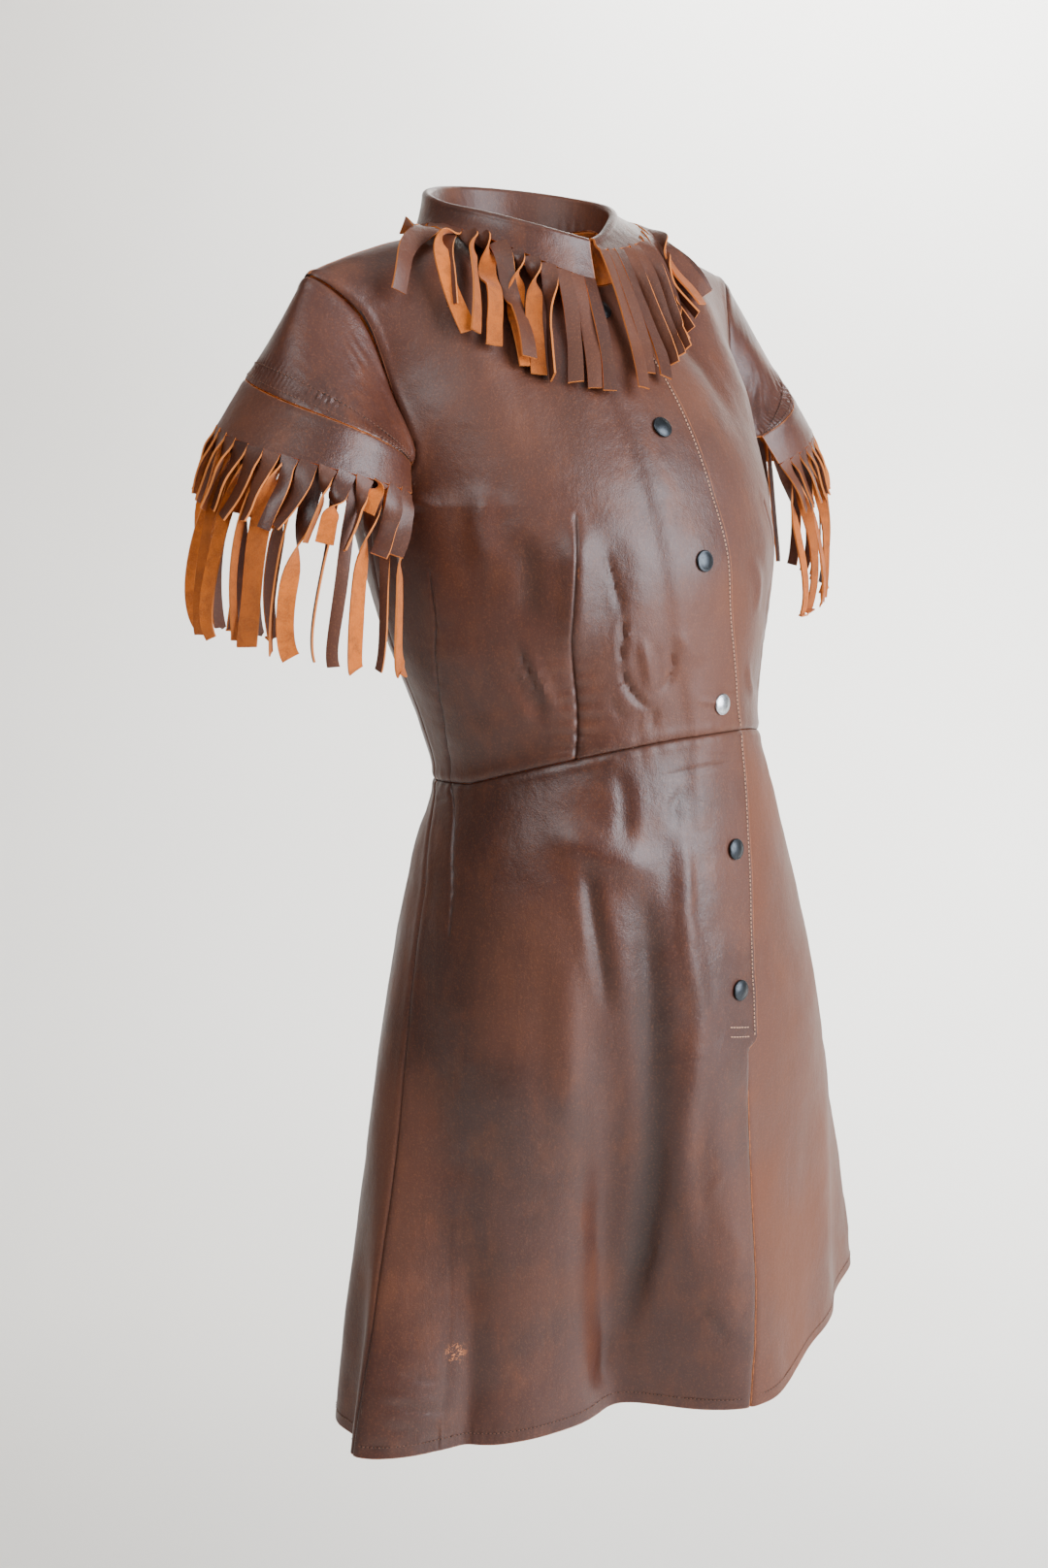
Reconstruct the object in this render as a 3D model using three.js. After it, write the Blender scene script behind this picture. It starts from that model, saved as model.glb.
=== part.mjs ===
// A short-sleeved leather dress with cut leather fringe, as it hangs when worn.
// Millimetres. +Z up, the front faces -Y, the wearer's left is +X.
// The origin is at the shoulders, between the two ends of the neckline.
import * as THREE from "three";

// Driving sizes
const WALL = 1.5; // leather thickness
const SEAM = 0.3; // gap between neighbouring pieces
const HALF_SEAM = SEAM / 2;
const LAP_GAP = 0.6; // clearance where the right front laps the left one
const HEM_Z = -843;
const WAIST_ROW = 6; // row of BODY where skirt and bodice meet
const UNDERARM_ROW = 10; // last row of BODY
const BAR_TACK_ROW = 3.15; // the front is open above this row and sewn shut below it
const LIFT_START_ROW = 2.6; // from here up the right front's edge rises
const LAP_END_ROW = 3.08; // and here it starts to reach over the left one
const UNDERLAP_ROW = 3.3; // from here up the left front reaches under it in full
const SNAP = { radius: 7.5, height: 3, lip: 0.9, gap: 0.5 };
const RIGHT = -1; // the wearer's right is -X
const LEFT = 1;

const LEATHER = 0x62402f;
const LEATHER_ROUGHNESS = 0.45;
const DARK_METAL = 0x3b3f44;
const BRIGHT_METAL = 0xb9bcc0;
const METAL_ROUGHNESS = 0.3;

// Each row of a table becomes an object with the named columns.
const table = (columns, rows) =>
  rows.map((row) => Object.fromEntries(columns.map((name, i) => [name, row[i]])));

// Level sections through skirt and waist: middle, half width, depth to the front and back,
// squareness of the oval, how far front and right side rise, and the turn of the section.
const BODY_COLUMNS = ["z", "x", "y", "half", "front", "back", "square", "rise", "lean", "turn"];
const BODY = [
  [HEM_Z, 24, -66, 238, 146, 135, 2.15, -6, -20, 3],
  [-765, 24, -66, 225, 143, 136, 2.15, 2, -13, 3],
  [-680, 23, -66, 208, 140, 136, 2.15, 10, -6, 2],
  [-590, 20, -66, 190, 137, 134, 2.15, 12, 0, 2],
  [-500, 17, -62, 165, 134, 127, 2.1, 18, 0, 2],
  [-435, 15, -58, 144, 130, 116, 2.05, 26, 3, 3],
  [-385, 14, -52, 125, 127, 103, 2.0, 42, 6, 3],
  [-345, 13, -46, 131, 131, 103, 2.0, 36, 6, 2],
  [-290, 11, -36, 146, 141, 107, 2.05, 24, 4, 0],
  [-230, 12, -24, 158, 150, 110, 2.1, 12, 2, -2],
  [-185, 13, -14, 163, 148, 112, 2.1, 6, 0, -4],
];

// Skirt folds: bearing at the hem and where it starts, half width, depth at the hem
// (minus is inwards), height of the start, and how flat the fold is across.
// Bearings are in degrees from the centre front, plus towards the wearer's left.
const FOLDS = table(
  ["hem", "top", "width", "depth", "start", "flat"],
  [
    [-50, -68, 46, -78, -400, 6],
    [-14, -46, 8, -18, -420, 2],
    [-1, -22, 9, 13, -400, 2],
    [24, 24, 13, -9, -560, 2],
    [46, 46, 9, -8, -560, 2],
    [66, 66, 9, 12, -560, 2],
    [90, 90, 10, -7, -560, 2],
    [125, 125, 18, -14, -520, 2],
    [150, 150, 12, 8, -520, 2],
    [180, 180, 16, -14, -520, 2],
    [-150, -150, 12, 8, -520, 2],
    [-125, -125, 9, 10, -560, 2],
    [-113, -113, 6, -8, -620, 2],
    [-104, -104, 6, 8, -480, 2],
  ],
);

// Bearing of the side seams at each row, the same on both sides.
const SIDE_SEAM = table(
  ["row", "bearing"],
  [[0, 105], [4.7, 105], [5.6, 114], [6, 118], [8, 108], [10, 90]],
);

// How far the right front reaches past the centre front.
const OVERLAP = table(
  ["row", "width"],
  [[3.15, 9], [4.6, 15], [6, 22], [8, 18], [10, 18], [14, 22]],
);
const UNDERLAP = 16; // how far the left front reaches under it

// Neckline and shoulders
const NECK_FRONT = new THREE.Vector3(0, -71, -41);
const NECK_BACK = new THREE.Vector3(2, 56, -6);
const NECK_SIDE = { [RIGHT]: new THREE.Vector3(-62, 6, 0), [LEFT]: new THREE.Vector3(62, -6, 0) };
const SHOULDER_TIP = {
  [RIGHT]: new THREE.Vector3(-189, 10, -32),
  [LEFT]: new THREE.Vector3(193, -18, -34),
};
const NECK_SHARE = 5 / 12; // share of a half panel's width that the neckline takes
const NECK_COLUMNS = 8; // steps across each half of the neckline
const SHOULDER_COLUMNS = 6;
const SHOULDER_CROWN = 6;
const NECK_TO_TIP = 0.0045; // share of a half panel's width for each millimetre along the shoulder
const NECK_TO_UNDERARM = 0.006; // share of the yoke's height for each millimetre down from the neck

// The right armhole, from under the arm up the front to the shoulder tip and down the back to
// under the arm again; the left one mirrors it.
const ARMHOLE = [
  [-150, -14, -185],
  [-146, -54, -152],
  [-150, -33, -107],
  [-165, -17, -58],
  [-189, 10, -32],
  [-168, 34, -58],
  [-155, 42, -104],
  [-150, 28, -158],
  [-150, -14, -185],
];
// Share of the armhole edge, front and back, that is left open under the arm.
const SLEEVE_START = { front: 0.25, back: 0.42 };

// Level lines round a sleeve: middle from the shoulder tip, half width and depth, bearings of the
// front and back ends, height of the outside, and the drop to the front and back ends.
const SLEEVE = Object.fromEntries(
  table(
    ["name", "x", "y", "half", "depth", "front", "back", "z", "frontDrop", "backDrop"],
    [
      ["seam", 8, -8, 52, 60, 124, -122, -68, 54, 42],
      ["slits", 1, -8, 70, 66, 114, -114, -98, 44, 38],
      ["shortEnds", -3, -8, 84, 72, 98, -104, -146, 36, 34],
      ["longEnds", -4, -8, 90, 70, 100, -104, -228, 34, 26],
    ],
  ).map((row) => [row.name, row]),
);
// The left armhole is set wider, so that sleeve sits further out and reaches less far round.
const SLEEVE_SET = {
  [RIGHT]: { out: 0, back: 0, reach: 1 },
  [LEFT]: { out: 6, back: 4, reach: 0.88 },
};
const SLEEVE_TOP_BEARING = -35; // the sleeve lines are highest behind the outside of the arm
const CAP_CROWN = 0.03;

// Collar
const FOLD_RADIUS = 3.5;
const COLLAR_END = { right: 6, left: 1 }; // degrees that the front ends stop short of the centre
const COLLAR_STAND_SHARE = 0.4;
const COLLAR_FOLD_SHARE = 0.15;

// Fringe
const COLLAR_STRIP_LENGTH = 72;
const STRIP_DRIFT = -0.23; // how far the front strips hang to the wearer's right, for each mm down
// The number of strips, the share of the width that they fill, the backing's share of the
// length, the steps along a strip, and how far strips slip, lift and twist, and the shortest.
const FRINGE = Object.fromEntries(
  table(
    ["name", "count", "fill", "backing", "rungs", "slip", "lift", "twist", "shortest"],
    [
  ["collar", 44, 0.9, 0.07, 5, 3, 2.5, 0, 0.86],
      ["short", 22, 0.92, 0.1, 4, 5, 2.5, 30, 0.82],
      ["long", 20, 0.82, 0.04, 5, 6, -3, 50, 0.86],
    ],
  ).map((row) => [row.name, row]),
);

const rad = THREE.MathUtils.degToRad;
const lerp = THREE.MathUtils.lerp;
const clamp01 = (x) => Math.min(1, Math.max(0, x));
const smooth = (x) => clamp01(x) ** 2 * (3 - 2 * clamp01(x));
const vec = (x, y, z) => new THREE.Vector3(x, y, z);
const mix = (a, b, k) => a.clone().lerp(b, k);
// A bearing brought into the half turn to either side of the centre front.
const wrap = (bearing) => ((((bearing + 180) % 360) + 360) % 360) - 180;
const mirrored = (side, p) => (side === RIGHT ? p : vec(-p.x, p.y, p.z));
// An even but irregular number from 0 to 1 for each strip.
const scatter = (i, salt) => {
  const s = Math.sin(i * 12.9898 + salt * 78.233) * 43758.5453;
  return s - Math.floor(s);
};

const steps = (from, to, count) =>
  Array.from({ length: count + 1 }, (_, i) => lerp(from, to, i / count));

// A value read between the rows of a table with a row column.
function along(rows, name, row) {
  if (row <= rows[0].row) return rows[0][name];
  for (let i = 1; i < rows.length; i++) {
    const a = rows[i - 1];
    const b = rows[i];
    if (row <= b.row) return lerp(a[name], b[name], (row - a.row) / (b.row - a.row));
  }
  return rows[rows.length - 1][name];
}

// A smooth curve through the rows of numbers, at v rows along.
function between(rows, v) {
  const i = Math.min(Math.max(Math.floor(v), 0), rows.length - 2);
  const t = v - i;
  return rows[i].map((p1, k) => {
    const p2 = rows[i + 1][k];
    const p0 = i > 0 ? rows[i - 1][k] : 2 * p1 - p2;
    const p3 = i < rows.length - 2 ? rows[i + 2][k] : 2 * p2 - p1;
    const a = 2 * p0 - 5 * p1 + 4 * p2 - p3;
    const b = -p0 + 3 * p1 - 3 * p2 + p3;
    return 0.5 * (2 * p1 + (p2 - p0) * t + a * t * t + b * t ** 3);
  });
}

// How far the folds push the skirt out at this bearing and height.
function foldDepth(bearing, z) {
  let depth = 0;
  for (const fold of FOLDS) {
    const grown = smooth((fold.start - z) / (fold.start - HEM_Z));
    const at = lerp(fold.top, fold.hem, (fold.start - z) / (fold.start - HEM_Z));
    const away = wrap(bearing - at);
    depth += fold.depth * Math.exp(-(Math.abs(away / fold.width) ** fold.flat)) * grown ** 1.2;
  }
  return depth;
}

// The outside of skirt and waist at a row of BODY and a bearing.
function body(row, bearing) {
  const values = between(BODY, row);
  const b = Object.fromEntries(BODY_COLUMNS.map((name, i) => [name, values[i]]));
  const s = Math.sin(rad(bearing));
  const c = Math.cos(rad(bearing));
  const depth = c > 0 ? b.front : b.back;
  let x = b.half * Math.sign(s) * Math.abs(s) ** (2 / b.square);
  let y = -depth * Math.sign(c) * Math.abs(c) ** (2 / b.square);
  const fold = foldDepth(bearing, b.z);
  const nx = x / b.half ** 2;
  const ny = y / depth ** 2;
  const n = Math.hypot(nx, ny) + 1e-9;
  x += (fold * nx) / n;
  y += (fold * ny) / n;
  const z = b.z + b.rise * (c > 0 ? c : 0.3 * c) - b.lean * s;
  const turn = rad(b.turn);
  return vec(
    b.x + x * Math.cos(turn) - y * Math.sin(turn),
    b.y + x * Math.sin(turn) + y * Math.cos(turn),
    z,
  );
}

// The armhole edge of the front or back panel, t from under the arm to the shoulder tip.
function armhole(side, t, back) {
  const tip = (ARMHOLE.length - 1) / 2;
  const under = mirrored(side, vec(...ARMHOLE[0]));
  const top = mirrored(side, vec(...ARMHOLE[tip]));
  return mirrored(side, vec(...between(ARMHOLE, back ? tip * (2 - t) : tip * t)))
    .addScaledVector(body(UNDERARM_ROW, 90 * side).sub(under), 1 - t)
    .addScaledVector(SHOULDER_TIP[side].clone().sub(top), t);
}

// The neckline and then the shoulder seam, s from -1 to 1 across the dress.
function topLine(s, back) {
  const side = s < 0 ? RIGHT : LEFT;
  const q = Math.abs(s);
  const neckSide = NECK_SIDE[side];
  if (q < NECK_SHARE) {
    const middle = back ? NECK_BACK : NECK_FRONT;
    const a = (q / NECK_SHARE) * (Math.PI / 2);
    return vec(
      lerp(middle.x, neckSide.x, Math.sin(a)),
      lerp(neckSide.y, middle.y, Math.cos(a)),
      middle.z * Math.max(0, Math.cos(a)) ** 1.3,
    );
  }
  const k = clamp01((q - NECK_SHARE) / (1 - NECK_SHARE));
  return mix(neckSide, SHOULDER_TIP[side], k).add(vec(0, 0, SHOULDER_CROWN * Math.sin(Math.PI * k)));
}

// A smooth surface from the underarm level up to the neckline and shoulders.
function chest(s, t, back) {
  const bearing = back ? 180 - 90 * s : 90 * s;
  const step = 0.02;
  const low = body(UNDERARM_ROW, bearing);
  const up = low.clone().sub(body(UNDERARM_ROW - step, bearing)).normalize();
  const top = topLine(s, back);
  const reach = top.distanceTo(low);
  const toBack = back ? -1 : 1;
  const atNeck = vec(0, 0.62 * toBack, 0.78).multiplyScalar(reach * 1.05);
  const atShoulder = vec(0, toBack, 0).multiplyScalar(reach * 1.15);
  const atTop = mix(atNeck, atShoulder, smooth((Math.abs(s) - 0.3) / 0.25));
  return vec(0, 0, 0)
    .addScaledVector(low, 2 * t ** 3 - 3 * t ** 2 + 1)
    .addScaledVector(up, (t ** 3 - 2 * t ** 2 + t) * reach)
    .addScaledVector(top, -2 * t ** 3 + 3 * t ** 2)
    .addScaledVector(atTop, t ** 3 - t ** 2);
}

// The outside of the bodice above the underarm, drawn in to the armhole at its sides.
function yoke(s, t, back) {
  const side = s < 0 ? RIGHT : LEFT;
  const near = smooth((Math.abs(s) - 0.35) / 0.65);
  const shift = armhole(side, t, back).sub(chest(side, t, back));
  return chest(s, t, back).addScaledVector(shift, near);
}

// The outside of the bodice. Row 6 is the waist and row 10 the underarm level, and rows
// 10 to 14 lead up to the neckline and shoulders. s is -1 to 1 from side seam to side seam.
const TOP_ROW = 14;
function bodice(row, s, back) {
  if (row > UNDERARM_ROW) return yoke(s, (row - UNDERARM_ROW) / (TOP_ROW - UNDERARM_ROW), back);
  const seam = along(SIDE_SEAM, "bearing", row);
  return body(row, back ? 180 - (180 - seam) * s : seam * s);
}

// The seam between sleeve and bodice, u from its front end over the shoulder to its back end.
function sleeveHead(side, u) {
  const back = u > 0.5;
  const start = back ? SLEEVE_START.back : SLEEVE_START.front;
  return armhole(side, lerp(start, 1, 1 - Math.abs(2 * u - 1)), back);
}

function sleeveLine(side, line, u) {
  const { out, back, reach } = SLEEVE_SET[side];
  const bearing = lerp(line.front, line.back, u) * reach;
  const a = rad(bearing);
  const top = SLEEVE_TOP_BEARING;
  const drop =
    bearing > top
      ? line.frontDrop * clamp01((bearing - top) / (line.front - top)) ** 1.3
      : line.backDrop * clamp01((top - bearing) / (top - line.back)) ** 1.3;
  const tip = mirrored(side, SHOULDER_TIP[side]);
  return mirrored(
    side,
    vec(
      tip.x + line.x - out - line.half * Math.cos(a),
      tip.y + line.y + back - line.depth * Math.sin(a),
      tip.z + line.z - drop,
    ),
  );
}

function sleeveCap(side, u, w) {
  const a = sleeveHead(side, u);
  const b = sleeveLine(side, SLEEVE.seam, u);
  const tip = SHOULDER_TIP[side];
  const p = mix(a, b, w);
  const out = p.clone().sub(vec(tip.x * 0.8, tip.y - 8, tip.z - 38)).normalize();
  return p.addScaledVector(out, Math.sin(Math.PI * w) * a.distanceTo(b) * CAP_CROWN);
}

const sleeveBand = (side, u, w) =>
  mix(sleeveLine(side, SLEEVE.seam, u), sleeveLine(side, SLEEVE.slits, u), w);

// The sleeve's outside: w is 0 at the armhole, 1 at the band seam and 2 at the foot of the slits.
const sleeve = (side, u, w) => (w < 1 ? sleeveCap(side, u, w) : sleeveBand(side, u, w - 1));

// The neckline at a bearing from the centre front.
function neckline(bearing) {
  const side = bearing < 0 ? RIGHT : LEFT;
  const q = Math.abs(bearing);
  const back = q > 90;
  return topLine(((back ? 180 - q : q) / 90) * NECK_SHARE * side, back);
}

function outOfNeck(bearing) {
  const run = neckline(wrap(bearing + 1)).sub(neckline(wrap(bearing - 1)));
  return vec(run.y, -run.x, 0).normalize();
}

// On the wearer's left the collar flares away from the shoulder, and is lifted and drawn in at
// the front.
const onLeft = (bearing, middle, width) =>
  bearing > -COLLAR_END.right / 2 ? Math.exp(-(((bearing - middle) / width) ** 2)) : 0;
const flare = (bearing) => onLeft(bearing, 70, 42);

// The collar at a bearing: w is 0 at the neck seam and 1 at the lower edge of the fall.
function collar(bearing, w) {
  const q = Math.abs(bearing);
  const seam = neckline(bearing);
  const foldRise = 40 * ((1 - Math.cos(rad(bearing))) / 2 + 1e-9) ** 0.65;
  const foldZ = -8 + foldRise + 4 * onLeft(bearing, 55, 45);
  const foldOut = -5 + 10 * smooth(q / 110) - 8 * onLeft(bearing, 38, 38);
  const edgeFall = 38 * smooth(q / 95) - 5 * smooth((q - 95) / 85);
  const edgeZ = -35 + edgeFall + 4 * flare(bearing) + 20 * onLeft(bearing, 0, 42);
  const edgeSpread = 9 * smooth(q / 90) - 2 * smooth((q - 90) / 90);
  const edgeOut = 8 + edgeSpread + 15 * flare(bearing) - 9 * onLeft(bearing, 30, 40);
  const standTop = foldZ - FOLD_RADIUS;
  const fallStart = COLLAR_STAND_SHARE + COLLAR_FOLD_SHARE;
  let out;
  let z;
  if (w < COLLAR_STAND_SHARE) {
    const k = w / COLLAR_STAND_SHARE;
    out = foldOut * Math.max(0, k) ** 1.2;
    z = lerp(seam.z + 2 * SEAM + 1.2 * Math.exp(-((bearing / 35) ** 2)), standTop, k);
  } else if (w < fallStart) {
    const a = ((w - COLLAR_STAND_SHARE) / COLLAR_FOLD_SHARE) * Math.PI;
    out = foldOut + FOLD_RADIUS * (1 - Math.cos(a));
    z = standTop + FOLD_RADIUS * Math.sin(a);
  } else {
    const k = (w - fallStart) / (1 - fallStart);
    out = lerp(foldOut + 2 * FOLD_RADIUS, edgeOut, Math.max(0, k) ** 1.4);
    z = lerp(standTop, edgeZ, k);
  }
  return seam.addScaledVector(outOfNeck(bearing), out).setZ(z);
}

// The bodice below the neckline: distances down its front or back, out along the shoulder, and
// towards the wearer's left.
function belowNeck(bearing, down, over, aside) {
  const side = bearing < 0 ? RIGHT : LEFT;
  const q = Math.abs(bearing);
  const back = q > 90;
  const s = ((back ? 180 - q : q) / 90) * NECK_SHARE + over * NECK_TO_TIP;
  return yoke(s * side + aside * NECK_TO_TIP, 1 - down * NECK_TO_UNDERARM, back);
}

// The way out of a surface given by point(s, t), outwards being to the right of s and up t.
function outward(point, s, t, ds, dt) {
  const across = point(s + ds, t).sub(point(s - ds, t));
  const up = point(s, t + dt).sub(point(s, t - dt));
  return across.cross(up).normalize();
}

// A closed solid from triangles that share their corners.
function solid(name, corners, faces, material) {
  const geometry = new THREE.BufferGeometry();
  geometry.setAttribute(
    "position",
    new THREE.Float32BufferAttribute(corners.flatMap((p) => [p.x, p.y, p.z]), 3),
  );
  geometry.setIndex(faces.flatMap(([a, b, c, d]) => [a, b, c, a, c, d]));
  geometry.computeVertexNormals();
  const mesh = new THREE.Mesh(geometry, material);
  mesh.name = name;
  return mesh;
}

// A sheet of leather: point(s, t) is its outer face, ss and ts are the steps across and up.
// columns(t) gives the steps across for a row where they move, and lift(s, t) raises the sheet.
function sheet(name, point, columns, ts, { lift = () => 0, step = 0.004, stepUp = step, material } = {}) {
  const corners = [];
  const width = columns(ts[0]).length;
  for (const t of ts) {
    for (const s of columns(t)) {
      const n = outward(point, s, t, step, stepUp);
      const p = point(s, t).addScaledVector(n, lift(s, t));
      corners.push(p, p.clone().addScaledVector(n, -WALL));
    }
  }
  const at = (i, j, inner) => 2 * (j * width + i) + inner;
  const faces = [];
  for (let j = 0; j + 1 < ts.length; j++) {
    for (let i = 0; i + 1 < width; i++) {
      faces.push([at(i, j, 0), at(i + 1, j, 0), at(i + 1, j + 1, 0), at(i, j + 1, 0)]);
      faces.push([at(i, j, 1), at(i, j + 1, 1), at(i + 1, j + 1, 1), at(i + 1, j, 1)]);
    }
  }
  const top = ts.length - 1;
  for (let i = 0; i + 1 < width; i++) {
    faces.push([at(i, 0, 0), at(i, 0, 1), at(i + 1, 0, 1), at(i + 1, 0, 0)]);
    faces.push([at(i, top, 0), at(i + 1, top, 0), at(i + 1, top, 1), at(i, top, 1)]);
  }
  for (let j = 0; j < top; j++) {
    faces.push([at(0, j, 0), at(0, j + 1, 0), at(0, j + 1, 1), at(0, j, 1)]);
    const last = width - 1;
    faces.push([at(last, j, 0), at(last, j, 1), at(last, j + 1, 1), at(last, j + 1, 0)]);
  }
  return solid(name, corners, faces, material);
}

// A row of strips hanging from a narrow backing. hang(u, k) is the face that they lie in,
// u from 0 to 1 along the backing and k from 0 at its top to 1 at the ends. The settings are a
// row of FRINGE, and strip(i) gives each one's slip sideways, lift, twist in degrees and share
// of the full length.
function fringe(name, hang, { count, fill, backing, rungs }, strip, material) {
  const corners = [];
  const faces = [];
  const frame = (u, k) => {
    const away = hang(u, k + 0.01).sub(hang(u, k - 0.01)).normalize();
    const across = hang(u + 0.004, k).sub(hang(u - 0.004, k));
    across.addScaledVector(away, -across.dot(away)).normalize();
    return { away, across, out: away.clone().cross(across) };
  };
  // The corners go round each cross section: outer first, outer second, inner second, inner first.
  const station = (u, k) => {
    const { out } = frame(u, k);
    const p = hang(u, k);
    corners.push(p, p.clone().addScaledVector(out, -WALL));
    return corners.length - 2;
  };
  const stations = [];
  for (let i = 0; i < count; i++) {
    for (const u of [(i + (1 - fill) / 2) / count, (i + (1 + fill) / 2) / count]) {
      stations.push({ top: station(u, 0), low: station(u, backing), u });
    }
  }
  const first = stations[0];
  const last = stations[stations.length - 1];
  faces.push([first.top, first.top + 1, first.low + 1, first.low]);
  faces.push([last.top, last.low, last.low + 1, last.top + 1]);
  for (let j = 0; j + 1 < stations.length; j++) {
    const a = stations[j];
    const b = stations[j + 1];
    faces.push([a.top, a.low, b.low, b.top]);
    faces.push([a.top + 1, b.top + 1, b.low + 1, a.low + 1]);
    faces.push([a.top, b.top, b.top + 1, a.top + 1]);
    if (j % 2 === 1) faces.push([a.low, a.low + 1, b.low + 1, b.low]);
  }
  for (let i = 0; i < count; i++) {
    const a = stations[2 * i];
    const b = stations[2 * i + 1];
    const middle = (a.u + b.u) / 2;
    const half = hang(a.u, backing).distanceTo(hang(b.u, backing)) / 2;
    const { slip, lift, twist, length } = strip(i, middle);
    let ring = [a.low, b.low, b.low + 1, a.low + 1];
    for (let j = 1; j <= rungs; j++) {
      const g = j / rungs;
      const k = lerp(backing, 1, g * length);
      const { away, across, out } = frame(middle, k);
      const turned = rad(twist) * smooth(g * 1.3);
      const wide = across.clone().applyAxisAngle(away, turned);
      const thick = out.clone().applyAxisAngle(away, turned);
      const centre = hang(middle, k)
        .addScaledVector(across, slip * g ** 1.5)
        .addScaledVector(out, lift * Math.sin(Math.PI * 0.55 * g));
      const start = corners.length;
      for (const [side, inner] of [[-1, 0], [1, 0], [1, 1], [-1, 1]]) {
        corners.push(
          centre.clone().addScaledVector(wide, side * half).addScaledVector(thick, -WALL * inner),
        );
      }
      const next = [start, start + 1, start + 2, start + 3];
      for (let c = 0; c < 4; c++) {
        const d = (c + 1) % 4;
        faces.push([ring[c], next[c], next[d], ring[d]]);
      }
      ring = next;
    }
    faces.push([ring[0], ring[3], ring[2], ring[1]]);
  }
  return solid(name, corners, faces, material);
}

// How each strip of a fringe differs from its neighbours.
const uneven = ({ slip, lift, twist, shortest }, salt) => (i) => ({
  slip: slip * (scatter(i, salt) - 0.5),
  lift: lift * scatter(i, salt + 1),
  twist: twist * (scatter(i, salt + 2) - 0.5),
  length: lerp(shortest, 1, scatter(i, salt + 3)),
});

const leather = () =>
  new THREE.MeshStandardMaterial({ color: LEATHER, roughness: LEATHER_ROUGHNESS, metalness: 0 });

// Rows of the skirt and bodice, the same for every panel so that their seams fit, and the
// shares of a row that part them at the waist and at the neckline.
const WAIST_GAP = 0.004;
const TOP_GAP = 0.014;
const LAP_ROWS = [LIFT_START_ROW, LAP_END_ROW, BAR_TACK_ROW, UNDERLAP_ROW];
const SKIRT_ROWS = [0, 0.35, 0.9, 1.45, 2, ...LAP_ROWS, 3.8, 4.4, 4.95, 5.5, WAIST_ROW - WAIST_GAP];
const YOKE_ROWS = [...steps(UNDERARM_ROW, TOP_ROW - 0.5, 7), TOP_ROW - TOP_GAP];
const BODICE_ROWS = [WAIST_ROW + WAIST_GAP, 6.7, 7.4, 8.1, 8.8, 9.4, ...YOKE_ROWS];

// Millimetres at the centre front as a share of the half panel.
const share = (row, mm) => {
  const bearing = along(SIDE_SEAM, "bearing", row);
  const half = row > UNDERARM_ROW ? BODY[UNDERARM_ROW][3] : between(BODY, row)[3];
  return (mm / half) * (90 / bearing) * (2 / Math.PI);
};

// Steps across a half panel from the centre front to the side, finer at the neck.
const halfColumns = (end) => [
  ...steps(0, NECK_SHARE, NECK_COLUMNS),
  ...steps(NECK_SHARE, end, SHOULDER_COLUMNS).slice(1),
];

function frontPanels() {
  const point = (s, row) => bodice(row, s, false);
  const ramp = (row, from, to) => smooth((row - from) / (to - from));
  const overlap = (row) => along(OVERLAP, "width", row) * ramp(row, LAP_END_ROW, BAR_TACK_ROW);
  const underlap = (row) => UNDERLAP * ramp(row, BAR_TACK_ROW, UNDERLAP_ROW);
  const lift = (s, row) => {
    const flat = NECK_SHARE / NECK_COLUMNS;
    return (WALL + LAP_GAP) * smooth((s + 3 * flat) / flat) * ramp(row, LIFT_START_ROW, LAP_END_ROW);
  };
  const right = (row) => {
    const side = halfColumns(1 - share(row, HALF_SEAM)).slice(1).map((s) => -s).reverse();
    const open = overlap(row) > 0;
    const end = open ? share(row, overlap(row)) : -share(row, HALF_SEAM);
    return open ? [...side, 0, end / 2, end] : [...side, 3 * end, 2 * end, end];
  };
  const left = (row) => {
    const start = underlap(row) > 0 ? -share(row, underlap(row)) : share(row, HALF_SEAM);
    return [start, start / 4, ...halfColumns(1 - share(row, HALF_SEAM)).slice(1)];
  };
  return [["skirt", SKIRT_ROWS], ["bodice", BODICE_ROWS]].flatMap(([name, rows]) => [
    sheet(name + "_front_right", point, right, rows, { lift, material: leather() }),
    sheet(name + "_front_left", point, left, rows, { material: leather() }),
  ]);
}

function backPanels() {
  // Seen from outside, s runs the other way on the back.
  const point = (s, row) => bodice(row, -s, true);
  const columns = (row) => {
    const half = halfColumns(1 - share(row, HALF_SEAM));
    return [...half.slice(1).map((s) => -s).reverse(), ...half];
  };
  return [
    sheet("skirt_back", point, columns, SKIRT_ROWS, { material: leather() }),
    sheet("bodice_back", point, columns, BODICE_ROWS, { material: leather() }),
  ];
}

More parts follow.
